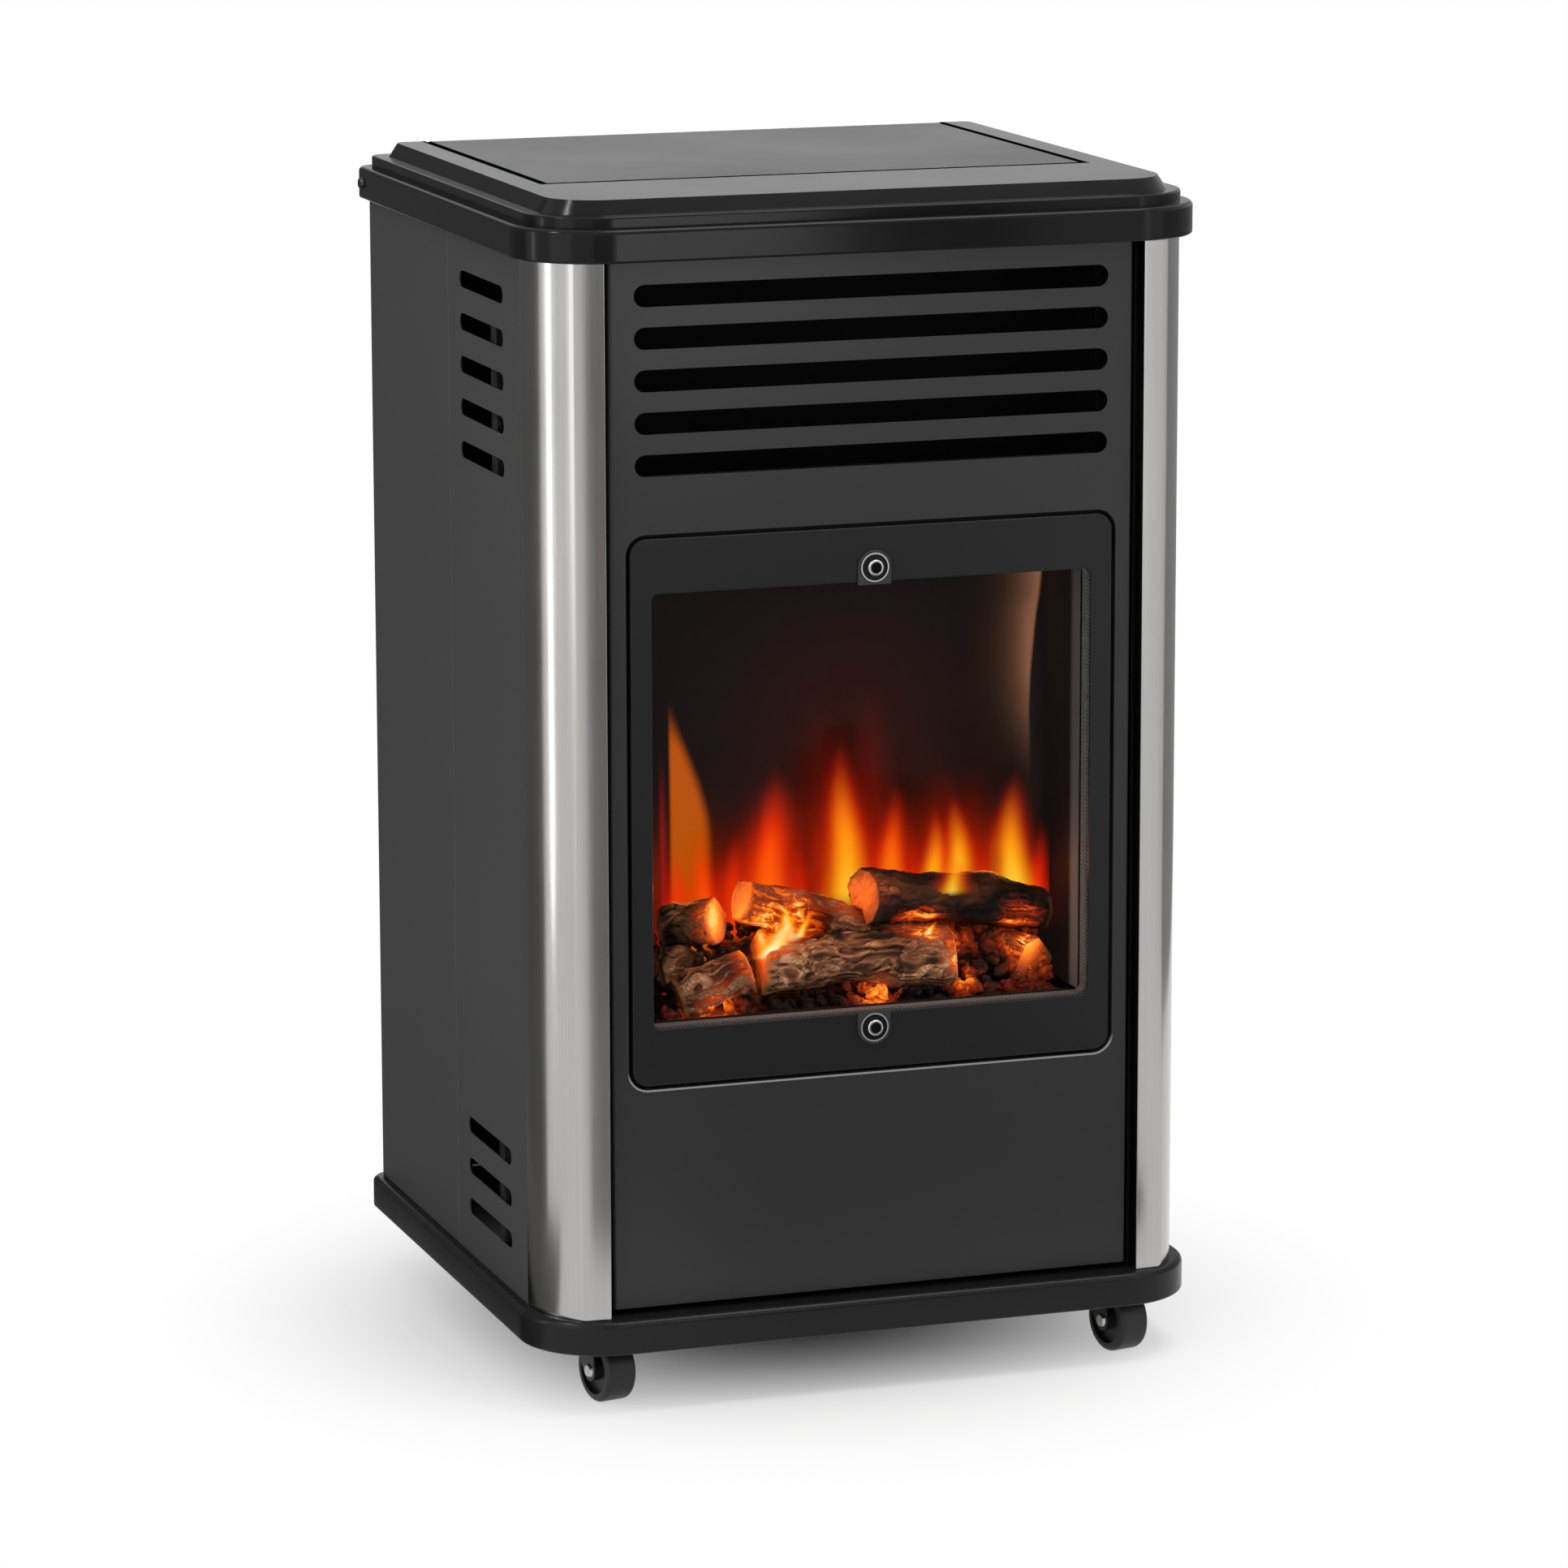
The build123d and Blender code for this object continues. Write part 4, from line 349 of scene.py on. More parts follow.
def paint(finish, *nodes):
    """Gives CAD pieces their finish."""
    for node in nodes:
        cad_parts[node].material_slots[0].material = finish.owner


MERGE_DISTANCE = 0.000002
FACET_ANGLE = math.radians(0.5)
EDGE_ANGLE = math.radians(35.0)
EDGE_SEGMENTS = 2
FLAT_WEIGHT = 100
SHEET_EDGE = 0.0005
TRAY_EDGE = 0.0018
GRAIN_WAVES = 1600.0
GRAIN_GLOSS = 0.06
FLOW_WAVES = (9.0, 9.0, 22.0)
FLOW_GLOSS = 0.12
FLOW_TINT = 1.5


def merged_copy(node):
    """The CAD piece's mesh with its loose triangles joined."""
    shape = bmesh.new()
    shape.from_mesh(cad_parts[node].data)
    bmesh.ops.remove_doubles(shape, verts=shape.verts, dist=MERGE_DISTANCE)
    return shape


def add_piece(name, shape, body, slot, finish, *replaced):
    """Puts a finished shape in the scene as a piece that moves with a CAD body."""
    made = new_object(name, new_mesh(shape, name))
    made.data.materials.append(finish.owner)
    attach(made, body)
    if replaced:
        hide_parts(*replaced)
    return made


def eased_copy(node, width, slot, finish, body="cabinet"):
    """A CAD piece with small rounds on its sharp edges, as deburred and coated sheet has."""
    shape = merged_copy(node)
    bmesh.ops.dissolve_limit(shape, angle_limit=FACET_ANGLE, use_dissolve_boundaries=False,
                             verts=shape.verts, edges=shape.edges)
    made = add_piece(node + "_eased", shape, body, slot, finish, node)
    made.data.shade_smooth()
    bevel = made.modifiers.new("eased_edges", "BEVEL")
    bevel.width = width
    bevel.segments = EDGE_SEGMENTS
    bevel.limit_method = "ANGLE"
    bevel.angle_limit = EDGE_ANGLE
    normals = made.modifiers.new("flat_faces", "WEIGHTED_NORMAL")
    normals.weight = FLAT_WEIGHT


def tinted(colour, share):
    """A colour made lighter or darker."""
    return tuple(channel * share for channel in colour[:3]) + (1.0,)


def moulding(name, colour, roughness, level, grain_depth):
    """Coloured plastic with a fine mould grain and slightly uneven gloss."""
    plastic = new_finish(name)
    grain = plastic.cloud(plastic.place(), GRAIN_WAVES, 3.0, 0.6)
    flow = plastic.cloud(plastic.stretch(plastic.place(), FLOW_WAVES), 1.0, 3.0)
    plastic.shade({
        "Base Color": plastic.blend(flow, colour, tinted(colour, FLOW_TINT)),
        "Roughness": roughness + (flow - 0.5) * FLOW_GLOSS + (grain - 0.5) * GRAIN_GLOSS,
        "Specular IOR Level": level,
        "Normal": plastic.bump(grain, grain_depth),
    })
    return plastic


black_moulding = moulding("black_moulding", (0.0105, 0.0105, 0.011, 1.0), 0.25, 0.16, 0.000003)

eased_copy("base_tray", TRAY_EDGE, "moulding_black", black_moulding)

# ---------------------------------------------------------------- castors
# Four swivel castors: a pressed fork coated black, a hard plastic wheel and a zinc-plated rivet as
# the axle. The fork's stem turns in a nylon socket in the tray's boss.
CASTOR_PLACES = ("front_left", "front_right", "rear_left", "rear_right")
PEEL_WAVES = 1500.0
PEEL_DEPTH = 0.00002
PEEL_GLOSS = 0.08
SHEET_WAVES = 5.0
SHEET_GLOSS = 0.06
SHEET_TINT = 1.25
TARNISH_WAVES = 14.0
TARNISH_GLOSS = 0.08
LINE_GLOSS = 0.16


def coated_steel(name, colour, roughness, level):
    """Satin powder coat on sheet steel, with its fine orange peel."""
    coat = new_finish(name)
    peel = coat.cloud(coat.place(), PEEL_WAVES, 2.0, 0.55)
    sheet = coat.cloud(coat.place(), SHEET_WAVES, 3.0)
    coat.shade({
        "Base Color": coat.blend(sheet * 0.7 + peel * 0.3, colour, tinted(colour, SHEET_TINT)),
        "Roughness": roughness + (sheet - 0.5) * SHEET_GLOSS + (peel - 0.5) * PEEL_GLOSS,
        "Specular IOR Level": level,
        "Normal": coat.bump(peel, PEEL_DEPTH),
    })
    return coat


def bare_metal(name, colour, roughness, streaks, streak_share, streak_depth):
    """Bare or plated metal whose grain runs the way that the streak scales say."""
    metal = new_finish(name)
    lines = metal.cloud(metal.stretch(metal.place(), streaks), 1.0, 4.0, 0.65)
    tarnish = metal.cloud(metal.place(), TARNISH_WAVES, 3.0)
    metal.shade({
        "Base Color": metal.blend(lines * 0.7 + tarnish * 0.3, tinted(colour, 1.0 - streak_share), colour),
        "Metallic": 1.0,
        "Roughness": roughness + (lines - 0.5) * LINE_GLOSS + (tarnish - 0.5) * TARNISH_GLOSS,
        "Normal": metal.bump(lines, streak_depth),
    })
    return metal


fork_coat = coated_steel("fork_coat", grey(0.010), 0.30, 0.4)
wheel_plastic = moulding("wheel_plastic", grey(0.010), 0.42, 0.35, 0.00003)
rivet_zinc = bare_metal("rivet_zinc", (0.62, 0.62, 0.60, 1.0), 0.28, (300.0, 300.0, 300.0), 0.15, 0.00001)
socket_nylon = moulding("socket_nylon", grey(0.03), 0.5, 0.4, 0.00002)
for corner in CASTOR_PLACES:
    paint(fork_coat, "caster_fork_" + corner)
    paint(wheel_plastic, "caster_wheel_" + corner)
    paint(rivet_zinc, "caster_axle_" + corner)
paint(socket_nylon, "caster_sockets")

# ---------------------------------------------------------------- frame posts and heat shield
# Two folded posts behind the corner trims carry the front. Behind the firebox a shield of
# galvanised sheet keeps the heat from the bottle. Posts and shield are painted nearly black, as the
# shade seen through the side slots. Spot welded and riveted.
# Galvanised sheet painted nearly black, as the shade seen behind the slots.
shaded_galvanised = new_finish("galvanised_sheet")
spangle = shaded_galvanised.node("TexVoronoi", {}, {"Vector": shaded_galvanised.place(), "Scale": 150.0}, output="Color")
spangle_tone = shaded_galvanised.channel(spangle, 0)
shaded_galvanised.shade({
    "Base Color": shaded_galvanised.blend(spangle_tone, (0.020, 0.020, 0.021, 1.0), (0.046, 0.047, 0.048, 1.0)),
    "Metallic": 1.0,
    "Roughness": 0.55 + spangle_tone * 0.14,
    "Normal": shaded_galvanised.bump(shaded_galvanised.cloud(shaded_galvanised.place(), 60.0), 0.00004),
})
paint(shaded_galvanised, "heat_shield")

# Posts painted nearly black, as the shade seen through the side slots.
post_shade_coat = coated_steel("post_shade_coat", grey(0.006), 0.7, 0.1)
paint(post_shade_coat, "frame_post_left", "frame_post_right")

# ---------------------------------------------------------------- side panels
# Flat steel sides with folded edges, powder coated dark grey. Each has five punched slots at the
# top and three at the foot. They hook on the posts and meet the rear cover in an open seam.
SEAM_HALF = 0.0006
seam_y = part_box("side_panel_left")[1][1] + SEAM_HALF
side_coat = coated_steel("side_coat", (0.056, 0.056, 0.057, 1.0), 0.50, 0.08)
# A thin line along the seam with the rear cover is painted light, as the highlight on its folded edge. The
# rear cover shares it.
seam_highlight = side_coat.fall(abs(side_coat.along("Y") - seam_y), SEAM_HALF / 2, SEAM_HALF)
side_coat.shade({"Base Color": side_coat.blend(seam_highlight, side_coat.fed("Base Color"), grey(0.115))})
for side in ("left", "right"):
    eased_copy("side_panel_" + side, SHEET_EDGE, "cabinet_paint", side_coat)

# ---------------------------------------------------------------- front panel
# Pressed steel front with its edges folded back, hung between the corner trims with an open gap all
# round. Five long warm-air slots, and a folded opening for the window. Satin dark grey paint, with a
# painted highlight along the lip under the window.
PRESSED_EDGE = 0.0012
LIP_GAP = 0.0025
LIP_RADIUS = 0.0125
LIP_WIDTH = 0.0009
LIP_BLUR = 0.0003
LIP_FADE = 0.0075
front_coat = coated_steel("front_coat", (0.025, 0.025, 0.026, 1.0), 0.33, 0.30)
plate_low, plate_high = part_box("window_frame")
panel_front_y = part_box("front_panel")[0][1]
lip_across = abs(front_coat.along("X")) - (plate_high[0] + LIP_GAP - LIP_RADIUS)
lip_below = (plate_low[2] - LIP_GAP + LIP_RADIUS) - front_coat.along("Z")
lip_corner = [front_coat.math("MAXIMUM", part, 0.0) ** 2 for part in (lip_across, lip_below)]
lip_reach = (lip_corner[0] + lip_corner[1]) ** 0.5 - LIP_RADIUS
# A light line is painted along the lip under the window and round its lower corners, as its highlight.
lip_highlight = (front_coat.band(lip_reach, 0.0, LIP_WIDTH, LIP_BLUR)
           * front_coat.rise(lip_below, 0.0, LIP_FADE)
           * front_coat.fall(front_coat.along("Y") - panel_front_y, PRESSED_EDGE, PRESSED_EDGE + LIP_BLUR))
front_coat.shade({"Base Color": front_coat.blend(lip_highlight, front_coat.fed("Base Color"), grey(0.30))})
eased_copy("front_panel", PRESSED_EDGE, "front_paint", front_coat)

# ---------------------------------------------------------------- corner trims
# Two stainless strips, folded at a crease in front and rolled round to the side, brushed along
# their length. They clip over the posts from the tray up to the top cover.
trim_steel = bare_metal("trim_steel", (0.52, 0.505, 0.49, 1.0), 0.18, (1500.0, 1500.0, 5.0), 0.30, 0.000006)
for side in ("left", "right"):
    eased_copy("corner_trim_" + side, SHEET_EDGE, "trim_steel", trim_steel)

# ---------------------------------------------------------------- window
# A pressed steel plate in the front panel's opening holds a pane of heat-resistant glass from
# behind, with a rope gasket round it and a riveted clip with a socket screw above and below.
RING_BLUR = 0.0002
CLIP_RING = (0.0082, 0.0088)
CLIP_GROOVE = (0.0, 0.0078)
SCREW_SOCKET = (0.0, 0.0034)
screw_low, screw_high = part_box("clip_screws")
screw_heights = (screw_high[2] - screw_high[0], screw_low[2] + screw_high[0])

window_coat = coated_steel("window_coat", (0.0135, 0.0135, 0.0140, 1.0), 0.32, 0.20)
eased_copy("window_frame", SHEET_EDGE, "front_paint", window_coat)

fire_glass = new_finish("fire_glass")
smear = fire_glass.cloud(fire_glass.place(), 11.0, 3.0)
fire_glass.shade({
    "Base Color": (0.004, 0.003, 0.003, 1.0),
    "Alpha": 0.04 + smear * 0.03,
    "Roughness": 0.06 + smear * 0.05,
    "Specular IOR Level": 0.07,
})
paint(fire_glass, "window_glass")

gasket_rope = new_finish("gasket_rope")
rope_twist = gasket_rope.node("TexWave", {"wave_type": "BANDS", "bands_direction": "DIAGONAL"},
                              {"Vector": gasket_rope.place(), "Scale": 260.0, "Distortion": 1.5})
rope_strand = gasket_rope.channel(rope_twist, 0)
gasket_rope.shade({
    "Base Color": gasket_rope.blend(rope_strand, (0.10, 0.095, 0.09, 1.0), (0.24, 0.23, 0.22, 1.0)),
    "Roughness": 0.95,
    "Specular IOR Level": 0.1,
    "Normal": gasket_rope.bump(rope_strand, 0.0003),
})
paint(gasket_rope, "glass_gasket")


def round_mark(finish, inner, outer):
    """1 between two radii round the screw of each clip."""
    marks = 0.0
    for screw_z in screw_heights:
        distance = (finish.along("X") ** 2 + (finish.along("Z") - screw_z) ** 2) ** 0.5
        marks = marks + finish.band(distance, inner, outer, RING_BLUR)
    return marks


clip_steel = new_finish("clip_steel")
clip_ring = round_mark(clip_steel, *CLIP_RING)
clip_groove = round_mark(clip_steel, *CLIP_GROOVE)
clip_scratch = clip_steel.cloud(clip_steel.place(), 700.0, 3.0)
clip_face = clip_steel.blend(clip_groove, (0.040, 0.040, 0.041, 1.0), grey(0.004))
clip_steel.shade({
    "Base Color": clip_steel.blend(clip_ring, clip_face, grey(0.55)),
    "Metallic": clip_ring,
    "Roughness": 0.36 + clip_scratch * 0.12,
    "Specular IOR Level": 0.2,
    "Normal": clip_steel.bump(clip_scratch, 0.00002),
})
eased_copy("glass_clips", SHEET_EDGE, "front_paint", clip_steel)

screw_head = new_finish("screw_head")
# The socket in each screw head is painted near black and matt, as the shade in its hole.
socket_shade = round_mark(screw_head, *SCREW_SOCKET)
screw_wear = screw_head.cloud(screw_head.place(), 500.0, 3.0)
screw_head.shade({
    "Base Color": screw_head.blend(socket_shade, (0.62, 0.62, 0.63, 1.0), grey(0.005)),
    "Metallic": 1 - socket_shade,
    "Roughness": 0.22 + screw_wear * 0.1 + socket_shade * 0.5,
    "Specular IOR Level": 0.1,
    "Normal": screw_head.bump(screw_wear, 0.00001),
})
eased_copy("clip_screws", SHEET_EDGE, "bright_screw", screw_head)

# ---------------------------------------------------------------- firebox, reflector and hood
# A folded steel box behind the window, open to the glass, with a flue slot in its roof under the
# warm-air hood, whose narrow flanges close the ends of the slots. Hood and flanges are painted black,
# as the shade seen through the slots. The bright sheet bent round inside the box throws the glow of
# the fire forward. Painted on it as its own glow are the fire's red glow, the flames it mirrors and a
# tan highlight down its right corner, and the front of its right side is painted pale as lit.
soot_coat = coated_steel("soot_coat", (0.012, 0.0095, 0.008, 1.0), 0.6, 0.25)
paint(soot_coat, "firebox_shell", "fuel_tray")
# Hood painted black, as the shade seen through the slots.
hood_shade_coat = coated_steel("hood_shade_coat", grey(0.004), 0.8, 0.05)

FLANGE_LAP = 0.001
FLANGE_REACH = 0.009
FLANGE_FOOT = 0.018
FLANGE_CLEAR = 0.0001
FLANGE_THICK = 0.0008
hood_shape = merged_copy("warm_air_hood")
hood_low, hood_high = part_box("warm_air_hood")
for hand in (-1, 1):
    flange = bmesh.ops.create_cube(hood_shape, size=1.0)
    bmesh.ops.scale(hood_shape, verts=flange["verts"], vec=(
        FLANGE_LAP + FLANGE_REACH, FLANGE_THICK, hood_high[2] - hood_low[2] - FLANGE_FOOT))
    bmesh.ops.translate(hood_shape, verts=flange["verts"], vec=(
        hand * (hood_high[0] + (FLANGE_REACH - FLANGE_LAP) / 2),
        hood_low[1] + FLANGE_CLEAR + FLANGE_THICK / 2,
        (hood_low[2] + FLANGE_FOOT + hood_high[2]) / 2,
    ))
add_piece("hood_flanged", hood_shape, "cabinet", "hood_black", hood_shade_coat, "warm_air_hood")

BACK_BEND_Y = (-0.118, -0.106)
SIDE_FRONT_Y = (-0.157, -0.150)
SIDE_RIGHT_X = (0.0, 0.01)
SIDE_DIM_Z = (0.26, 0.38)
WAVER = 0.016
TAN_EDGE_X = 0.1395
TAN_BLUR = 0.001
TAN_DECAY = 0.0095
TAN_LEAN = 0.007
TAN_LEAN_Z = (0.39, 0.52)
TAN_FOOT_Z = (0.345, 0.44)
HAZE_FOOT_Z = 0.285
HAZE_FADE = 0.030
HAZE_WAVER = 0.05
HAZE_SHARE = 0.68
HAZE_LEFT_X = (-0.140, -0.125)
HAZE_RIGHT_X = (0.100, 0.128)
TONGUE_X = -0.1020
TONGUE_WIDTH = 0.026
TONGUE_LEAN = 0.010
TONGUE_FOOT_Z = 0.31
TONGUE_EDGE = (-0.001, 0.002)
TONGUE_FAR_EDGE = (-0.006, 0.003)
TONGUE_TAPER_Z = (0.330, 0.425)
TONGUE_TIP_Z = (0.385, 0.425)
STREAK_STEP = 0.0048
STREAK_HALF = 0.003
STREAK_TIP_Z = (0.31, 0.39)
GLOW_X = 0.012
GLOW_REACH = 0.060
GLOW_TOP_Z = (0.36, 0.50)


def falloff(value):
    """1 where a signal is 0, and ever less where it grows."""
    return math.e ** (0 - value)


reflector = new_finish("reflector_sheet")
sheet_x = reflector.along("X")
sheet_y = reflector.along("Y")
sheet_z = reflector.along("Z")
waver = (reflector.cloud(reflector.stretch(reflector.place(), (5.0, 5.0, 16.0)), 1.0, 2.0) - 0.5) * WAVER
back_face = reflector.rise(sheet_y, *BACK_BEND_Y)
# The front of the right side is painted pale, as lit by the fire, and darker towards the top.
lit_side_strip = reflector.fall(sheet_y, *SIDE_FRONT_Y) * reflector.rise(sheet_x, *SIDE_RIGHT_X)
side_light = lit_side_strip * (0.75 + reflector.fall(sheet_z, *SIDE_DIM_Z) * 0.25)

# A tan band down the right corner is a painted highlight.
tan_edge = TAN_EDGE_X - reflector.fall(sheet_z, *TAN_LEAN_Z) * TAN_LEAN + waver * 0.3
tan_highlight = (falloff((tan_edge - sheet_x + waver) / TAN_DECAY) * reflector.rise(sheet_z, *TAN_FOOT_Z)
            * reflector.fall(sheet_x - tan_edge, -TAN_BLUR, TAN_BLUR))

haze_waver = reflector.cloud(reflector.stretch(reflector.place(), (38.0, 1.0, 9.0)), 1.0, 2.0) * HAZE_WAVER
haze_height = (sheet_z - HAZE_FOOT_Z - haze_waver) / HAZE_FADE
red_haze = (falloff(haze_height * haze_height) * HAZE_SHARE
            * reflector.rise(sheet_x, *HAZE_LEFT_X) * reflector.fall(sheet_x, *HAZE_RIGHT_X))

tongue_width = TONGUE_WIDTH * reflector.fall(sheet_z, *TONGUE_TAPER_Z) ** 0.8
tongue_across = sheet_x - TONGUE_X + (sheet_z - TONGUE_FOOT_Z) * TONGUE_LEAN
tongue = (reflector.rise(tongue_across, *TONGUE_EDGE)
          * reflector.fall(tongue_across - tongue_width, *TONGUE_FAR_EDGE)
          * reflector.fall(sheet_z, *TONGUE_TIP_Z))
red_streak = (reflector.band(tongue_across + STREAK_STEP, 0.0, 0.0, STREAK_HALF)
              * reflector.fall(sheet_z, *STREAK_TIP_Z))
far_glow = falloff(((sheet_x - GLOW_X) / GLOW_REACH) ** 2) * reflector.fall(sheet_z, *GLOW_TOP_Z)

# The red glow, the mirrored flame tongue and streak and the tan highlight are all painted as emission.
wall_base = reflector.blend(far_glow * back_face,
                            (0.0050, 0.0030, 0.0025, 1.0), (0.030, 0.0040, 0.0020, 1.0))
haze_colour = reflector.blend(red_haze * back_face, wall_base, (0.20, 0.011, 0.001, 1.0))
streak_colour = reflector.blend(red_streak * back_face, haze_colour, (0.30, 0.006, 0.006, 1.0))
tongue_colour = reflector.blend(tongue * back_face, streak_colour, (0.52, 0.090, 0.002, 1.0))
fire_light_colour = reflector.blend(tan_highlight * back_face, tongue_colour, (0.23, 0.096, 0.050, 1.0))
soot_streak = reflector.cloud(reflector.stretch(reflector.place(), (60.0, 60.0, 6.0)), 1.0, 3.0)
reflector.shade({
    "Base Color": reflector.blend(side_light, (0.0035, 0.0028, 0.0026, 1.0), (0.17, 0.17, 0.165, 1.0)),
    "Roughness": 0.40 + soot_streak * 0.2,
    "Specular IOR Level": 0.1,
    "Emission Color": fire_light_colour,
    "Emission Strength": 1.0,
    "Normal": reflector.bump(soot_streak, 0.00003),
})
paint(reflector, "back_reflector")

# ---------------------------------------------------------------- burner and pilot group
# A slotted stainless burner tube under the fuel tray, fed through a brass injector, with the pilot
# burner, thermocouple and spark electrode standing on the firebox floor beside it.
burner_steel = bare_metal("burner_steel", (0.34, 0.30, 0.27, 1.0), 0.35, (8.0, 400.0, 400.0), 0.35, 0.00001)
turned_brass = bare_metal("turned_brass", (0.66, 0.47, 0.20, 1.0), 0.26, (60.0, 60.0, 900.0), 0.2, 0.00001)
glazed_ceramic = moulding("glazed_ceramic", (0.62, 0.60, 0.55, 1.0), 0.22, 0.5, 0.00001)
paint(burner_steel, "burner_tube")
paint(turned_brass, "gas_injector", "pilot_burner", "thermocouple")
paint(glazed_ceramic, "spark_electrode")

# ---------------------------------------------------------------- logs
# Seven moulded ceramic logs laid on one another over the embers. Their bark is split and charred,
# the cut ends are bare, and the gaps between them glow where the fire comes through. The glow is
# painted as emission round listed hot spots, partly the logs' own glow and partly painted fire light,
# which also paints the cut ends orange. The bark is darker in its cracks and lighter on its ridges,
# partly char and partly painted shade and highlight, with painted highlights on the plate edges. The
# front log is left least charred, partly as painted fire light on it.
LOG_VOXEL = 0.0009
STRIP_WAVES = 260.0
STRIP_LENGTH_WAVES = 22.0
PLATE_WAVES = 150.0
PLATE_LENGTH_WAVES = 52.0
PLATE_STEP = 5.3
WARP_WAVES = 70.0
WARP = 0.95
CRACK_WIDTH = 0.08
BARK_DEPTH = 0.0024
KNOT_WAVES = 34.0
SMALL_KNOT_WAVES = 90.0
KNOT_DEPTH = 0.0030
CHECK_WAVES = 190.0
BARE_END = 0.004
BARE_REACH = 0.8
CUT_FACING = 0.72
CUT_BLUR = 0.15
AXIS_ROUNDS = 12
AXIS_SKIP = 7
BARK_SEED = 1795524795
# How charred each log is. The front log is left least charred, partly as painted fire light on it.
LOG_CHAR_AND_LIGHT = {
    "log_front": 0.15,
    "log_left": 0.30,
    "log_stub": 0.60,
    "log_right": 0.55,
    "log_back": 0.65,
    "log_branch": 0.50,
    "log_top": 0.95,
}
# Hot spots round which the logs and embers glow: partly their own glow, partly painted fire light.
HOT_SPOTS = (
    ((-0.052, -0.156, 0.286), 0.014, 1.40),
    ((-0.040, -0.150, 0.296), 0.011, 0.90),
    ((-0.068, -0.154, 0.277), 0.012, 0.80),
    ((-0.030, -0.150, 0.286), 0.010, 0.50),
    ((0.046, -0.154, 0.279), 0.010, 1.20),
    ((0.030, -0.152, 0.286), 0.009, 0.60),
    ((0.066, -0.150, 0.271), 0.012, 0.40),
    ((0.000, -0.150, 0.300), 0.016, 0.56),
    ((-0.088, -0.154, 0.294), 0.014, 1.25),
    ((0.061, -0.162, 0.260), 0.009, 0.60),
    ((-0.078, -0.152, 0.312), 0.016, 0.36),
    ((0.012, -0.166, 0.241), 0.010, 0.85),
    ((0.110, -0.152, 0.272), 0.015, 1.20),
    ((0.068, -0.160, 0.247), 0.010, 0.70),
    ((-0.055, -0.146, 0.314), 0.022, 0.30),
    ((-0.092, -0.164, 0.242), 0.014, 0.50),
    ((-0.070, -0.160, 0.260), 0.009, 0.45),
    ((0.114, -0.154, 0.256), 0.012, 0.32),
    ((0.064, -0.160, 0.256), 0.008, 0.40),
    ((-0.108, -0.150, 0.268), 0.008, 0.35),
)


def fine_remesh(shape, voxel):
    """Even fine mesh over a closed shape."""
    blank = new_object("blank", new_mesh(shape, "blank"))
    remesh = blank.modifiers.new("even_mesh", "REMESH")
    remesh.mode = "VOXEL"
    remesh.voxel_size = voxel
    fine = bpy.data.meshes.new_from_object(blank.evaluated_get(bpy.context.evaluated_depsgraph_get()))
    bpy.data.objects.remove(blank)
    even = bmesh.new()
    even.from_mesh(fine)
    bpy.data.meshes.remove(fine)
    even.normal_update()
    return even


def long_axis(points, centre):
    """Direction in which a cloud of points is longest."""
    axis = Vector((1.0, 0.4, 0.2))
    for _ in range(AXIS_ROUNDS):
        pull = Vector()
        for point in points:
            arm = point - centre
            pull += arm * arm.dot(axis)
        axis = pull.normalized()
    return axis


def heat_at(point):
    """How hot the fire has made a place, from 0 to 1."""
    heat = 0.0
    for place, reach, strength in HOT_SPOTS:
        heat += strength * math.exp(-((point - Vector(place)).length / reach) ** 2)
    return min(heat, 1.0)


def bark_log(node, char_and_light, finish):
    """Splits a CAD log's bark into plates and splinters, and marks relief, heat, bare ends and tone."""
    shape = fine_remesh(merged_copy(node), LOG_VOXEL)
    points = [vert.co.copy() for vert in shape.verts]
    centre = sum(points, Vector()) / len(points)
    axis = long_axis(points[::AXIS_SKIP], centre)
    reach = max(abs((point - centre).dot(axis)) for point in points)
    marks = shape.verts.layers.float_color.new("marks")
    seed = Vector((len(points) % 97, len(node), 0.0))
    for vert in shape.verts:
        arm = vert.co - centre
        along = axis * arm.dot(axis)
        spoke = arm - along
        warp = noise.noise_vector(arm * WARP_WAVES + seed) * WARP
        strip_place = spoke * STRIP_WAVES + along * STRIP_LENGTH_WAVES + warp + seed
        splinter = min(1.0, noise.ridged_multi_fractal(strip_place, 0.8, 2.2, 3, 1.0, 1.5) / 2.0)
        nearest, cells = noise.voronoi(spoke * PLATE_WAVES + along * PLATE_LENGTH_WAVES + warp + seed)
        plate = 0.5 + 0.5 * noise.noise(cells[0] * PLATE_STEP)
        crack = min(1.0, (nearest[1] - nearest[0]) / (CRACK_WIDTH * (0.5 + plate)))
        bare = max(0.0, min(1.0, (abs(vert.normal.dot(axis)) - CUT_FACING) / CUT_BLUR))
        if along.length > BARE_REACH * reach:
            bare = max(bare, (along.length - reach + BARE_END) / BARE_END)
        else:
            bare = 0.0
        relief = crack * (0.20 + 0.25 * plate) + 0.55 * splinter
        check = abs(noise.noise(spoke * CHECK_WAVES + seed))
        knot = noise.noise(arm * KNOT_WAVES + seed) + 0.5 * noise.noise(arm * SMALL_KNOT_WAVES + seed)
        depth = (relief - 0.6) * BARK_DEPTH * (1.0 - 0.8 * bare) + knot * KNOT_DEPTH * (1.0 - bare)
        tone = (1.0 - char_and_light) * (0.25 + 0.65 * plate + 0.3 * splinter) + 0.35 * knot
        vert[marks] = (relief + (0.4 + check - relief) * bare, heat_at(vert.co), bare, tone)
        vert.co += vert.normal * depth
    shape.normal_update()
    made = add_piece(node + "_bark", shape, "cabinet", "log_ceramic", finish, node)
    made.data.shade_smooth()


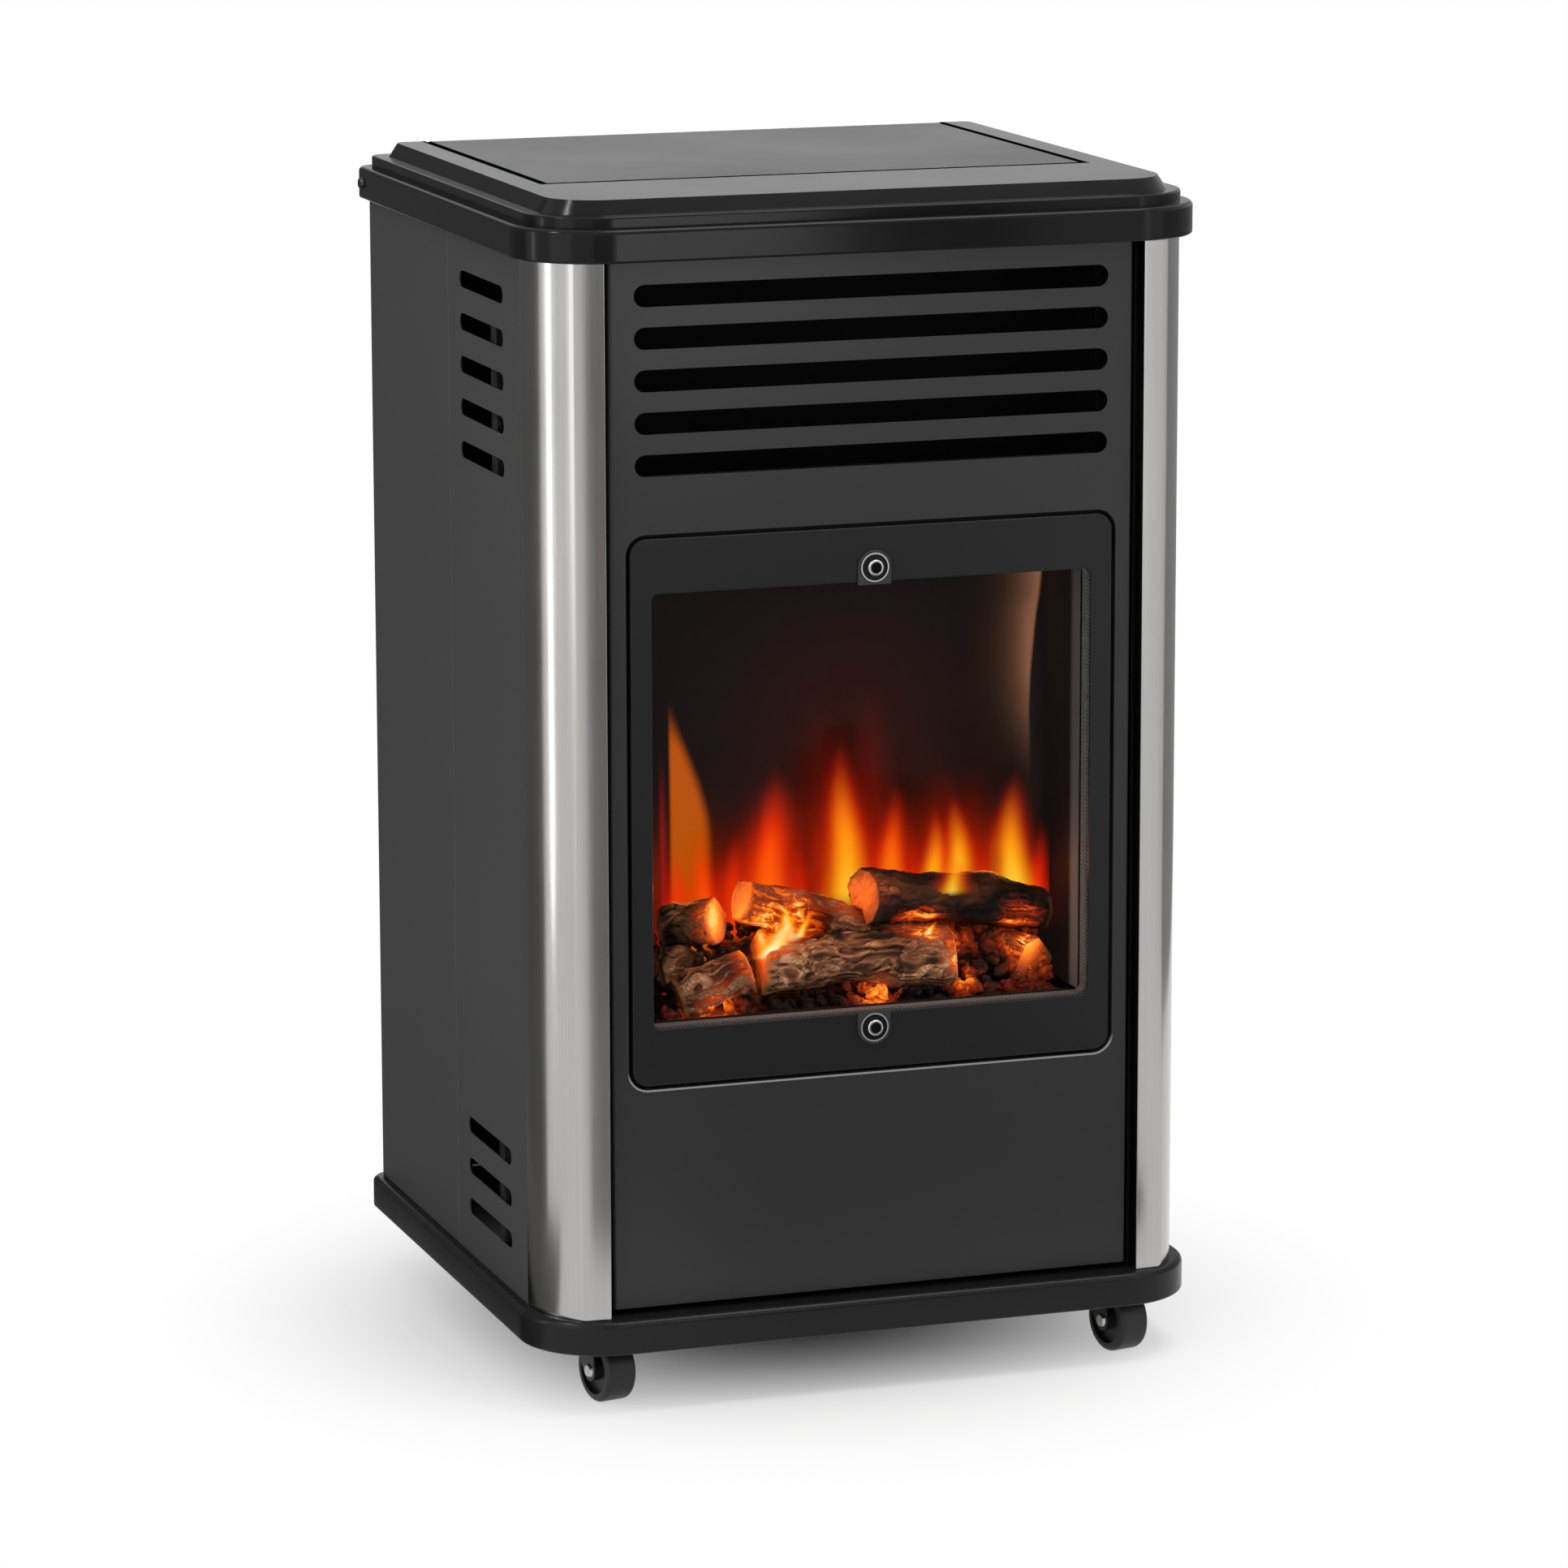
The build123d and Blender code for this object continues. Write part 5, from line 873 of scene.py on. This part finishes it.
log_bark = new_finish("log_bark")
log_marks = log_bark.mark("marks")
log_relief = log_bark.channel(log_marks, 0)
log_heat = log_bark.channel(log_marks, 1)
log_cut = log_bark.channel(log_marks, 2)
log_tone = log_bark.mark("marks", output="Alpha")
log_speck = log_bark.cloud(log_bark.place(), 520.0, 4.0, 0.7)
# Plate edges of the bark get a painted highlight. The bark is darker in cracks and lighter on ridges,
# partly char and partly painted shade and highlight.
bark_edge_highlight = log_bark.rise(log_relief, 0.55, 0.80) * log_bark.rise(log_speck, 0.42, 0.62)
bark_tone = log_bark.rise(log_relief, 0.10, 0.75) * (0.10 + log_tone * 0.75) + bark_edge_highlight * log_tone * 0.5
bark_colour = log_bark.ramp(bark_tone, (
    (0.05, (0.004, 0.003, 0.002, 1.0)),
    (0.22, (0.040, 0.016, 0.007, 1.0)),
    (0.45, (0.170, 0.072, 0.030, 1.0)),
    (0.70, (0.360, 0.170, 0.078, 1.0)),
    (1.00, (0.620, 0.380, 0.210, 1.0)),
))
# The cut ends are painted orange and glow near the hot spots, partly as painted fire light.
cut_tone = log_relief * 0.5 + log_speck * 0.4 + log_tone * 0.5 - 0.15
cut_colour = log_bark.blend(cut_tone, (0.06, 0.018, 0.005, 1.0), (0.58, 0.23, 0.065, 1.0))
crack_share = (1.10 - log_bark.rise(log_relief, 0.10, 0.85)) * (0.45 + log_speck * 0.9)
cut_share = 0.74 + (log_speck - 0.5) * 0.5
glow_share = log_heat * (crack_share + (cut_share - crack_share) * log_cut)
glow_colour = log_bark.ramp(glow_share, (
    (0.06, grey(0.0)),
    (0.20, (0.25, 0.014, 0.001, 1.0)),
    (0.40, (0.75, 0.110, 0.004, 1.0)),
    (0.62, (1.00, 0.320, 0.020, 1.0)),
    (0.95, (1.00, 0.800, 0.300, 1.0)),
))
log_bark.shade({
    "Base Color": log_bark.blend(log_cut, bark_colour, cut_colour),
    "Roughness": 0.85 - log_relief * 0.2,
    "Specular IOR Level": 0.2,
    "Emission Color": glow_colour,
    "Emission Strength": 1.2,
    "Normal": log_bark.bump(log_speck, 0.0006),
})
noise.seed_set(BARK_SEED)
for log_node, char_and_light in LOG_CHAR_AND_LIGHT.items():
    bark_log(log_node, char_and_light, log_bark)

# ---------------------------------------------------------------- embers
# Loose charred fibre lumps heaped on the fuel tray under and behind the logs, glowing in their
# cracks. The bed itself is one moulded piece, and the coals lie on it.
EMBER_VOXEL = 0.0012
EMBER_WAVES = 160.0
EMBER_DEPTH = 0.0018
COAL_COUNT = 330
COAL_SIZE = 0.0062
COAL_SLOPE = 1.05
COAL_SINK = 0.004
COAL_MARGIN = 0.006
COAL_STEP_ACROSS = 0.5698402910
COAL_STEP_BACK = 0.7548776662
COAL_TURNS = (1.3, 2.1, 0.7)
COAL_WAVES = 420.0
COAL_DEPTH = 0.0007
HEAT_WAVES = 28.0
RIDGE_TOP = 1.8

ember_lump = new_finish("ember_lump")
ember_groove = ember_lump.channel(ember_lump.mark("marks"), 0)
ember_heat = ember_lump.channel(ember_lump.mark("marks"), 1)
ember_speck = ember_lump.cloud(ember_lump.place(), 300.0, 4.0, 0.7)
ember_glow = ember_lump.ramp(ember_heat * (1.2 - ember_groove) * (0.4 + ember_speck * 1.2), (
    (0.06, grey(0.0)),
    (0.22, (0.20, 0.015, 0.001, 1.0)),
    (0.45, (0.85, 0.12, 0.005, 1.0)),
    (0.80, (1.0, 0.38, 0.04, 1.0)),
))
ember_lump.shade({
    "Base Color": ember_lump.blend(ember_groove, (0.004, 0.003, 0.002, 1.0), (0.030, 0.014, 0.008, 1.0)),
    "Roughness": 0.85,
    "Specular IOR Level": 0.2,
    "Emission Color": ember_glow,
    "Emission Strength": 1.15,
    "Normal": ember_lump.bump(ember_speck, 0.0004),
})


def roughen(shape, waves, depth, base_heat):
    """Cracks a lump's surface and marks its grooves and heat."""
    marks = shape.verts.layers.float_color.new("marks")
    shape.normal_update()
    for vert in shape.verts:
        ridge = min(RIDGE_TOP, noise.ridged_multi_fractal(vert.co * waves, 0.9, 2.1, 4, 1.0, 1.5))
        drift = 0.5 + 0.5 * noise.noise(vert.co * HEAT_WAVES)
        heat = min(1.0, heat_at(vert.co) * 1.2 + base_heat * drift ** 3)
        vert[marks] = (ridge / RIDGE_TOP, heat, 0.0, 1.0)
        vert.co += vert.normal * (ridge - 1.0) * depth


bed_shape = fine_remesh(merged_copy("ember_bed"), EMBER_VOXEL)
roughen(bed_shape, EMBER_WAVES, EMBER_DEPTH, 0.5)
ember_heap = add_piece("ember_heap", bed_shape, "cabinet", "ember", ember_lump, "ember_bed")
ember_heap.data.shade_smooth()

bed_low, bed_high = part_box("ember_bed")
coal_shape = bmesh.new()
for coal in range(COAL_COUNT):
    across = coal * COAL_STEP_ACROSS % 1.0
    back = coal * COAL_STEP_BACK % 1.0
    coal_y = bed_low[1] + COAL_SINK + back * (bed_high[1] - bed_low[1] - 2 * COAL_MARGIN)
    coal_rise = max(0.0, coal_y - bed_low[1] - COAL_MARGIN - COAL_SINK) * COAL_SLOPE
    coal_place = Vector((
        bed_low[0] + COAL_MARGIN + across * (bed_high[0] - bed_low[0] - 2 * COAL_MARGIN),
        coal_y,
        bed_high[2] - COAL_SINK + coal_rise + COAL_SINK * (coal * 0.37 % 1.0),
    ))
    size = COAL_SIZE * (0.35 + 0.75 * (coal * 0.73 % 1.0) + 0.25 * back)
    lump = bmesh.ops.create_icosphere(coal_shape, subdivisions=2, radius=size)
    turn = Euler([coal * step for step in COAL_TURNS]).to_matrix()
    for vert in lump["verts"]:
        dent = 0.75 + 0.55 * noise.noise(vert.co / COAL_SIZE * 1.1 + Vector((coal, 0.0, 0.0)))
        flattened = Vector((vert.co.x * dent, vert.co.y * dent * 0.8, vert.co.z * dent * 0.65))
        vert.co = turn @ flattened + coal_place
roughen(coal_shape, COAL_WAVES, COAL_DEPTH, 0.45)
add_piece("coal_heap", coal_shape, "cabinet", "ember", ember_lump)

# ---------------------------------------------------------------- flames
# Gas flames that lick up between the logs: thin curved sheets of light with soft edges, yellow at
# the root, orange higher up and red at the tip. Short pale ones come through the gaps in front.
FLAME_ROWS = 20
FLAME_COLUMNS = 12
FLAME_BEHIND_Y = -0.121
FLAME_SPREAD = 0.030
FLAME_CUP = 0.003
SWAY = 0.16
SWAY_TURNS = 5.5
SWAY_SHIFT = 70.0
FIRE_LAMP_HEIGHT = 0.02
FIRE_COLOUR = (1.0, 0.34, 0.08)
FLAMES = (
    # across, foot, tip, half width, yellow share, strength, depth, lean
    (-0.0435, 0.280, 0.384, 0.0165, 0.33, 1.00, 0.0000, 0.000),
    (0.0035, 0.280, 0.400, 0.0150, 0.80, 1.00, 0.0012, 0.000),
    (0.0365, 0.280, 0.368, 0.0115, 0.48, 0.95, 0.0006, 0.000),
    (0.0620, 0.278, 0.352, 0.0110, 0.88, 1.00, 0.0012, 0.000),
    (0.0630, 0.296, 0.326, 0.0080, 0.95, 0.80, -0.0330, 0.000),
    (0.0770, 0.278, 0.360, 0.0125, 1.00, 1.00, 0.0018, 0.000),
    (0.1155, 0.276, 0.370, 0.0140, 0.95, 1.00, 0.0012, 0.000),
    (-0.0265, 0.266, 0.336, 0.0085, 0.10, 0.60, 0.0030, 0.000),
    (0.0200, 0.266, 0.334, 0.0070, 0.15, 0.30, 0.0036, 0.000),
    (0.0490, 0.266, 0.338, 0.0080, 0.15, 0.55, 0.0030, 0.000),
    (0.0960, 0.264, 0.334, 0.0080, 0.10, 0.60, 0.0036, 0.000),
    (0.1330, 0.262, 0.336, 0.0080, 0.05, 0.80, 0.0030, 0.000),
    (-0.0660, 0.266, 0.346, 0.0120, 0.20, 0.80, 0.0036, 0.000),
    (-0.0880, 0.266, 0.352, 0.0100, 0.30, 0.85, 0.0030, 0.000),
    (-0.1050, 0.266, 0.340, 0.0090, 0.15, 0.85, 0.0036, 0.000),
    (-0.0060, 0.262, 0.430, 0.0220, 0.00, 0.14, 0.0060, 0.000),
    (0.0240, 0.262, 0.440, 0.0180, 0.00, 0.12, 0.0066, 0.000),
    (0.0700, 0.262, 0.385, 0.0260, 0.00, 0.14, 0.0060, 0.000),
    (-0.0565, 0.270, 0.299, 0.0080, 1.90, 1.00, -0.0390, 0.017),
    (-0.0630, 0.267, 0.291, 0.0068, 1.75, 1.00, -0.0400, 0.023),
    (-0.0440, 0.276, 0.307, 0.0056, 1.80, 1.00, -0.0385, -0.007),
    (-0.0400, 0.278, 0.300, 0.0036, 1.20, 0.90, -0.0392, 0.010),
    (0.0440, 0.274, 0.284, 0.0030, 1.50, 1.00, -0.0380, 0.006),
)

flame_light = new_finish("flame_light")
flame_uv = flame_light.node("UVMap", {"uv_map": "flame"}, {})
flame_across = flame_light.node("SeparateXYZ", {}, {0: flame_uv}, output="X")
flame_up = flame_light.node("SeparateXYZ", {}, {0: flame_uv}, output="Y")
flame_mark = flame_light.mark("flame_mark")
flame_hue = flame_light.channel(flame_mark, 0)
flame_strength = flame_light.channel(flame_mark, 1)
flame_half = flame_light.channel(flame_mark, 2)
flame_lick = flame_light.cloud(flame_light.stretch(flame_light.place(), (70.0, 20.0, 22.0)), 1.0, 2.0)
flame_width = flame_half * (1.02 - flame_up) ** 0.65 * (0.75 + flame_lick * 0.5)
flame_offset = flame_across * FLAME_SPREAD + (flame_lick - 0.5) * 0.4 * flame_half * flame_up
flame_soft = falloff((flame_offset / flame_width) ** 2 * 0.75)
flame_border = flame_light.fall(flame_across * flame_across, 0.55, 1.0)
flame_tip = flame_light.fall(flame_up, 0.40, 1.0) ** 1.3
flame_foot = flame_light.rise(flame_up, 0.0, 0.16)
flame_cover = flame_soft * flame_border * flame_tip * flame_foot * flame_strength
flame_warmth = flame_hue * flame_soft * (1.35 - flame_up * 1.3)
flame_colour = flame_light.ramp(flame_warmth * 0.6, (
    (0.00, (0.75, 0.008, 0.002, 1.0)),
    (0.11, (0.95, 0.040, 0.002, 1.0)),
    (0.25, (1.00, 0.150, 0.004, 1.0)),
    (0.43, (1.00, 0.330, 0.006, 1.0)),
    (0.62, (1.00, 0.560, 0.030, 1.0)),
    (0.95, (1.00, 0.860, 0.450, 1.0)),
))
flame_light.shade({
    "Base Color": grey(0.0),
    "Specular IOR Level": 0.0,
    "Roughness": 1.0,
    "Alpha": flame_cover,
    "Emission Color": flame_colour,
    "Emission Strength": 1.15,
})

flame_shape = bmesh.new()
flame_map = flame_shape.loops.layers.uv.new("flame")
flame_marks = flame_shape.verts.layers.float_color.new("flame_mark")
for flame_x, foot_z, tip_z, half_width, warmth, strength, depth, lean in FLAMES:
    sheet = bmesh.ops.create_grid(flame_shape, x_segments=FLAME_COLUMNS, y_segments=FLAME_ROWS, size=1.0)
    for face in {face for vert in sheet["verts"] for face in vert.link_faces}:
        for loop in face.loops:
            loop[flame_map].uv = (loop.vert.co.x, loop.vert.co.y / 2 + 0.5)
    for vert in sheet["verts"]:
        across, up = vert.co.x, vert.co.y / 2 + 0.5
        sway = SWAY * half_width * math.sin(SWAY_TURNS * up + SWAY_SHIFT * flame_x) + up * lean
        vert.co = Vector((
            flame_x + across * FLAME_SPREAD + sway,
            FLAME_BEHIND_Y + depth + FLAME_CUP * across * across,
            foot_z + up * (tip_z - foot_z),
        ))
        vert[flame_marks] = (warmth, strength, half_width, 1.0)
flames = add_piece("flames", flame_shape, "cabinet", "ember", flame_light)
flames.data.shade_smooth()

# Low strips of fire light on the logs.
for name, place, direction, width, energy in (
    ("flame_glow", (0.0, -0.118, 0.300), (0.0, -0.8, -0.6), 0.22, 0.26),
    ("window_glow", (0.0, -0.170, 0.320), (0.0, 0.45, -0.90), 0.20, 0.05),
):
    fire_lamp = area_lamp(name, place, direction, width, FIRE_LAMP_HEIGHT, energy)
    fire_lamp.data.color = FIRE_COLOUR

# ---------------------------------------------------------------- top cover
# One near-black moulding over the cabinet: a rounded rim, a ledge and a raised platform with
# slanted sides, hollow underneath, and a well for the controls. Screws through the rim hold it.
GAP_WIDTH = 0.0016
GAP_SHADE = 0.0024
GAP_BLUR = 0.0004
TOP_DEPTH = 0.001
lid_low, lid_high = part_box("lid_flap")


def shade_gap(finish, inner, outer):
    """Dulls the moulding's top between two distances from the lid's edge, where no light gets in."""
    across = abs(finish.along("X")) - lid_high[0]
    ahead = lid_low[1] - finish.along("Y")
    beside = finish.band(finish.math("MAXIMUM", across, ahead), inner, outer, GAP_BLUR)
    top = finish.rise(finish.along("Z"), lid_high[2] - 2 * TOP_DEPTH, lid_high[2] - TOP_DEPTH)
    dull = finish.node("BsdfPrincipled", {}, {
        "Base Color": grey(0.002),
        "Roughness": 1.0,
        "Specular IOR Level": 0.0,
    })
    gloss = Signal(finish, finish.surface.outputs[0])
    mixed = finish.node("MixShader", {}, {0: beside * top, 1: gloss, 2: dull})
    finish.connect(finish.tree.nodes["Material Output"], {"Surface": mixed})


cover_moulding = moulding("cover_moulding", (0.0080, 0.0080, 0.0085, 1.0), 0.15, 0.12, 0.000003)
shade_gap(cover_moulding, GAP_WIDTH, GAP_WIDTH + GAP_SHADE)
eased_copy("top_cover", SHEET_EDGE, "moulding_black", cover_moulding)
black_screw = bare_metal("black_screw", grey(0.045), 0.4, (400.0, 400.0, 400.0), 0.2, 0.00001)
paint(black_screw, "rim_screws")

# ---------------------------------------------------------------- lid
# Flat flap over the controls, moulded with a rib round its underside and a barrel along its rear
# edge. It lies flush in the platform and turns on two pins.
LID_SHADE = 0.0012
lid_moulding = moulding("lid_moulding", (0.0095, 0.0095, 0.0100, 1.0), 0.24, 0.14, 0.000003)
shade_gap(lid_moulding, -LID_SHADE, 0.0)
eased_copy("lid_flap", SHEET_EDGE, "lid_black", lid_moulding, body="lid")
hinge_pin = bare_metal("hinge_pin", grey(0.55), 0.25, (900.0, 60.0, 60.0), 0.15, 0.00001)
paint(hinge_pin, "lid_hinge_pins")

# ---------------------------------------------------------------- controls
# Brushed plate in the floor of the well with the tap's knob on the left and the igniter's button on
# the right. Knob and button are mouldings. Dots that grow round the knob are printed on the plate,
# and the knob has a white pointer.
DOT_COUNT = 5
DOT_SWEEP = math.radians(210.0)
DOT_CLEAR = 0.006
DOT_RADIUS = 0.0009
DOT_GROWTH = 0.0004
POINTER_HALF = 0.0008
POINTER_START = (0.35, 0.38)
PRINT_BLUR = 0.0002
PLATE_BRUSH = (6.0, 1400.0, 1400.0)
plate_steel = bare_metal("plate_steel", grey(0.50), 0.33, PLATE_BRUSH, 0.2, 0.000006)
knob_low, knob_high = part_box("control_knob")
knob_x = (knob_low[0] + knob_high[0]) / 2
knob_y = (knob_low[1] + knob_high[1]) / 2
knob_radius = (knob_high[0] - knob_low[0]) / 2


def dot_print(finish, spot_x, spot_y, radius):
    """1 inside a round spot seen from above."""
    distance = ((finish.along("X") - spot_x) ** 2 + (finish.along("Y") - spot_y) ** 2) ** 0.5
    return finish.fall(distance, radius, radius + PRINT_BLUR)


plate_print = 0.0
for dot in range(DOT_COUNT):
    dot_angle = math.pi / 2 + DOT_SWEEP * dot / (DOT_COUNT - 1)
    dot_x = knob_x + (knob_radius + DOT_CLEAR) * math.cos(dot_angle)
    dot_y = knob_y + (knob_radius + DOT_CLEAR) * math.sin(dot_angle)
    plate_print = plate_print + dot_print(plate_steel, dot_x, dot_y, DOT_RADIUS + DOT_GROWTH * dot)
plate_grain = plate_steel.cloud(plate_steel.stretch(plate_steel.place(), PLATE_BRUSH), 1.0, 4.0, 0.65)
plate_tone = plate_steel.blend(plate_grain, grey(0.40), grey(0.50))
plate_steel.shade({
    "Base Color": plate_steel.blend(plate_print, plate_tone, grey(0.02)),
    "Metallic": 1 - plate_print,
})
paint(plate_steel, "control_plate")
igniter_moulding = moulding("igniter_moulding", (0.012, 0.012, 0.0125, 1.0), 0.45, 0.4, 0.00001)
paint(igniter_moulding, "igniter_body")
knob_moulding = moulding("knob_moulding", (0.012, 0.012, 0.0125, 1.0), 0.42, 0.4, 0.00001)
pointer_x = abs(knob_moulding.along("X") - knob_x)
pointer_y = (knob_moulding.along("Y") - knob_y) / knob_radius
pointer_line = (knob_moulding.fall(pointer_x, POINTER_HALF, POINTER_HALF + PRINT_BLUR)
                * knob_moulding.rise(pointer_y, *POINTER_START))
knob_moulding.shade({
    "Base Color": knob_moulding.blend(pointer_line, (0.012, 0.012, 0.0125, 1.0), (0.78, 0.78, 0.76, 1.0)),
})
paint(knob_moulding, "control_knob")
button_moulding = moulding("button_moulding", (0.36, 0.018, 0.014, 1.0), 0.24, 0.5, 0.00001)
paint(button_moulding, "igniter_button")
paint(turned_brass, "valve_spindle", "valve_plug")

# ---------------------------------------------------------------- gas train
# Die-cast tap with its magnet head, an aluminium tube to the burner and a thinner one to the pilot,
# and a barbed brass nozzle for the bottle's hose. Screwed together under the well.
cast_alloy = bare_metal("cast_alloy", (0.46, 0.47, 0.48, 1.0), 0.48, (180.0, 180.0, 180.0), 0.25, 0.00005)
drawn_tube = bare_metal("drawn_tube", (0.56, 0.57, 0.58, 1.0), 0.30, (90.0, 90.0, 90.0), 0.18, 0.00001)
paint(cast_alloy, "gas_valve")
paint(drawn_tube, "gas_pipe", "pilot_pipe")
paint(turned_brass, "inlet_nozzle")

# ---------------------------------------------------------------- rear cover
# Steel tray that closes the bottle compartment from behind, folded round both sides to the seams,
# with two banks of punched vents and a hand slot. It lifts off its hooks. Same coat as the sides.
eased_copy("rear_cover", SHEET_EDGE, "cabinet_paint", side_coat, body="back")
